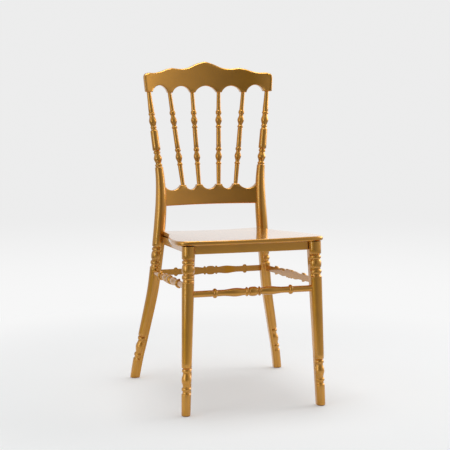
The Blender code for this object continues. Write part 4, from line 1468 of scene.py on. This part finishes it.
def between(before, start, end, after, share):
    """A point on the smooth curve from start to end."""
    square = share * share
    cube = square * share
    return (
        before * (-0.5 * cube + square - 0.5 * share)
        + start * (1.5 * cube - 2.5 * square + 1.0)
        + end * (-1.5 * cube + 2.0 * square + 0.5 * share)
        + after * (0.5 * cube - 0.5 * square)
    )


def seat_outline():
    """Points round the panel: forward on one side, back on the other, and across the rear."""
    rows = [Vector((width, y, 0.0)) for y, width in seat_half_widths]
    front = Vector((0.0, seat_front_y, 0.0))
    rows.append(front)
    past_front = Vector((-rows[-2].x, rows[-2].y, 0.0))
    guides = [rows[0] * 2.0 - rows[1]] + rows + [past_front]
    right = []
    for index in range(1, len(guides) - 2):
        for step in range(outline_steps):
            right.append(between(*guides[index - 1:index + 3], step / outline_steps))
    left = [Vector((-point.x, point.y, 0.0)) for point in reversed(right)]
    wide = rows[0].x
    rear = []
    for step in range(1, rear_steps):
        rear.append(Vector((-wide + 2.0 * wide * step / rear_steps, seat_rear_y, 0.0)))
    return right + [front] + left + rear


def moved_in(outline, inset):
    moved = []
    count = len(outline)
    for index, point in enumerate(outline):
        before = point - outline[index - 1]
        after = outline[(index + 1) % count] - point
        first = Vector((before.y, -before.x, 0.0)).normalized()
        second = Vector((after.y, -after.x, 0.0)).normalized()
        normal = (first + second).normalized()
        moved.append(point + normal * (inset / max(flattest_corner, normal.dot(first))))
    return moved


def dish(point):
    """How far the top lies under its rim."""
    across = max(0.0, 1.0 - (point.x / dish_half_width) ** 2)
    back = (point.y - seat_front_y) / (seat_rear_y - seat_front_y)
    return across * (dish_front + (dish_rear - dish_front) * back)


print("points round the seat", len(seat_outline()))


# %% Seat panel
seat_top_roll = 0.0046
seat_low_roll = 0.0055
undercut = 0.0080
low_rings = 7
top_rings = 9
top_shares = (0.97, 0.92, 0.85, 0.76, 0.66, 0.55, 0.44, 0.33, 0.22, 0.12, 0.04)


def edge_levels():
    """(Height over the underside, inset from the outline) of each ring up the edge."""
    levels = []
    for step in range(low_rings + 1):
        angle = math.pi / 2.0 * step / low_rings
        height = seat_low_roll * (1.0 - math.cos(angle))
        levels.append((height, undercut * (1.0 - math.sin(angle))))
    for step in range(top_rings + 1):
        angle = math.pi / 2.0 * step / top_rings
        height = seat_thickness - seat_top_roll + seat_top_roll * math.sin(angle)
        levels.append((height, seat_top_roll * (1.0 - math.cos(angle))))
    return levels


def make_seat():
    outline = seat_outline()
    rows = []
    for height, inset in edge_levels():
        share = max(0.0, 1.0 - (seat_thickness - height) / seat_top_roll)
        ring = moved_in(outline, inset)
        rows.append([on_seat(point.x, point.y, height - share * dish(point)) for point in ring])
    rim = moved_in(outline, seat_top_roll)
    for share in top_shares:
        flats = [point * share for point in rim]
        rows.append([on_seat(flat.x, flat.y, seat_thickness - dish(flat)) for flat in flats])
    make_skin("seat_panel", rows)


make_seat()


# %% [markdown]
# ## Feet
# A small plastic glide under each foot keeps the resin off the floor. It is a disc with a
# rounded rim, so the helper that spins the spindles makes it as well.

# %% Glides
glide_profile = [
    (0.0000, 0.0085),
    (0.0002, 0.0091),
    (0.0006, 0.0095),
    (0.0014, 0.0095),
    (0.0016, 0.0093),
]


def make_glide(name, foot):
    base = Vector((foot.x, foot.y, 0.0))
    tip = base + Vector((0.0, 0.0, 1.0))
    spun(name, glide_profile, base, tip, glide_plastic)


for side, word in sides:
    make_glide("front_" + word + "_glide", leg_axis(side, 0.0))
    make_glide("rear_" + word + "_glide", post_axis(side, 0.0))


# %% [markdown]
# ## What stays as the CAD made it
# The corner brackets and their screws are hidden under the seat. They could be made again here,
# but their shapes are right, so they only get their finishes.

# %% Finishes for the kept nodes
kept_finishes = {"bracket": gold, "screw": steel}
for ending, finish in kept_finishes.items():
    kept = [node for name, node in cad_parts.items() if name.endswith(ending)]
    for node in kept:
        node.data.materials.clear()
        node.data.materials.append(finish)
    print(ending, len(kept), "keep their CAD shape")
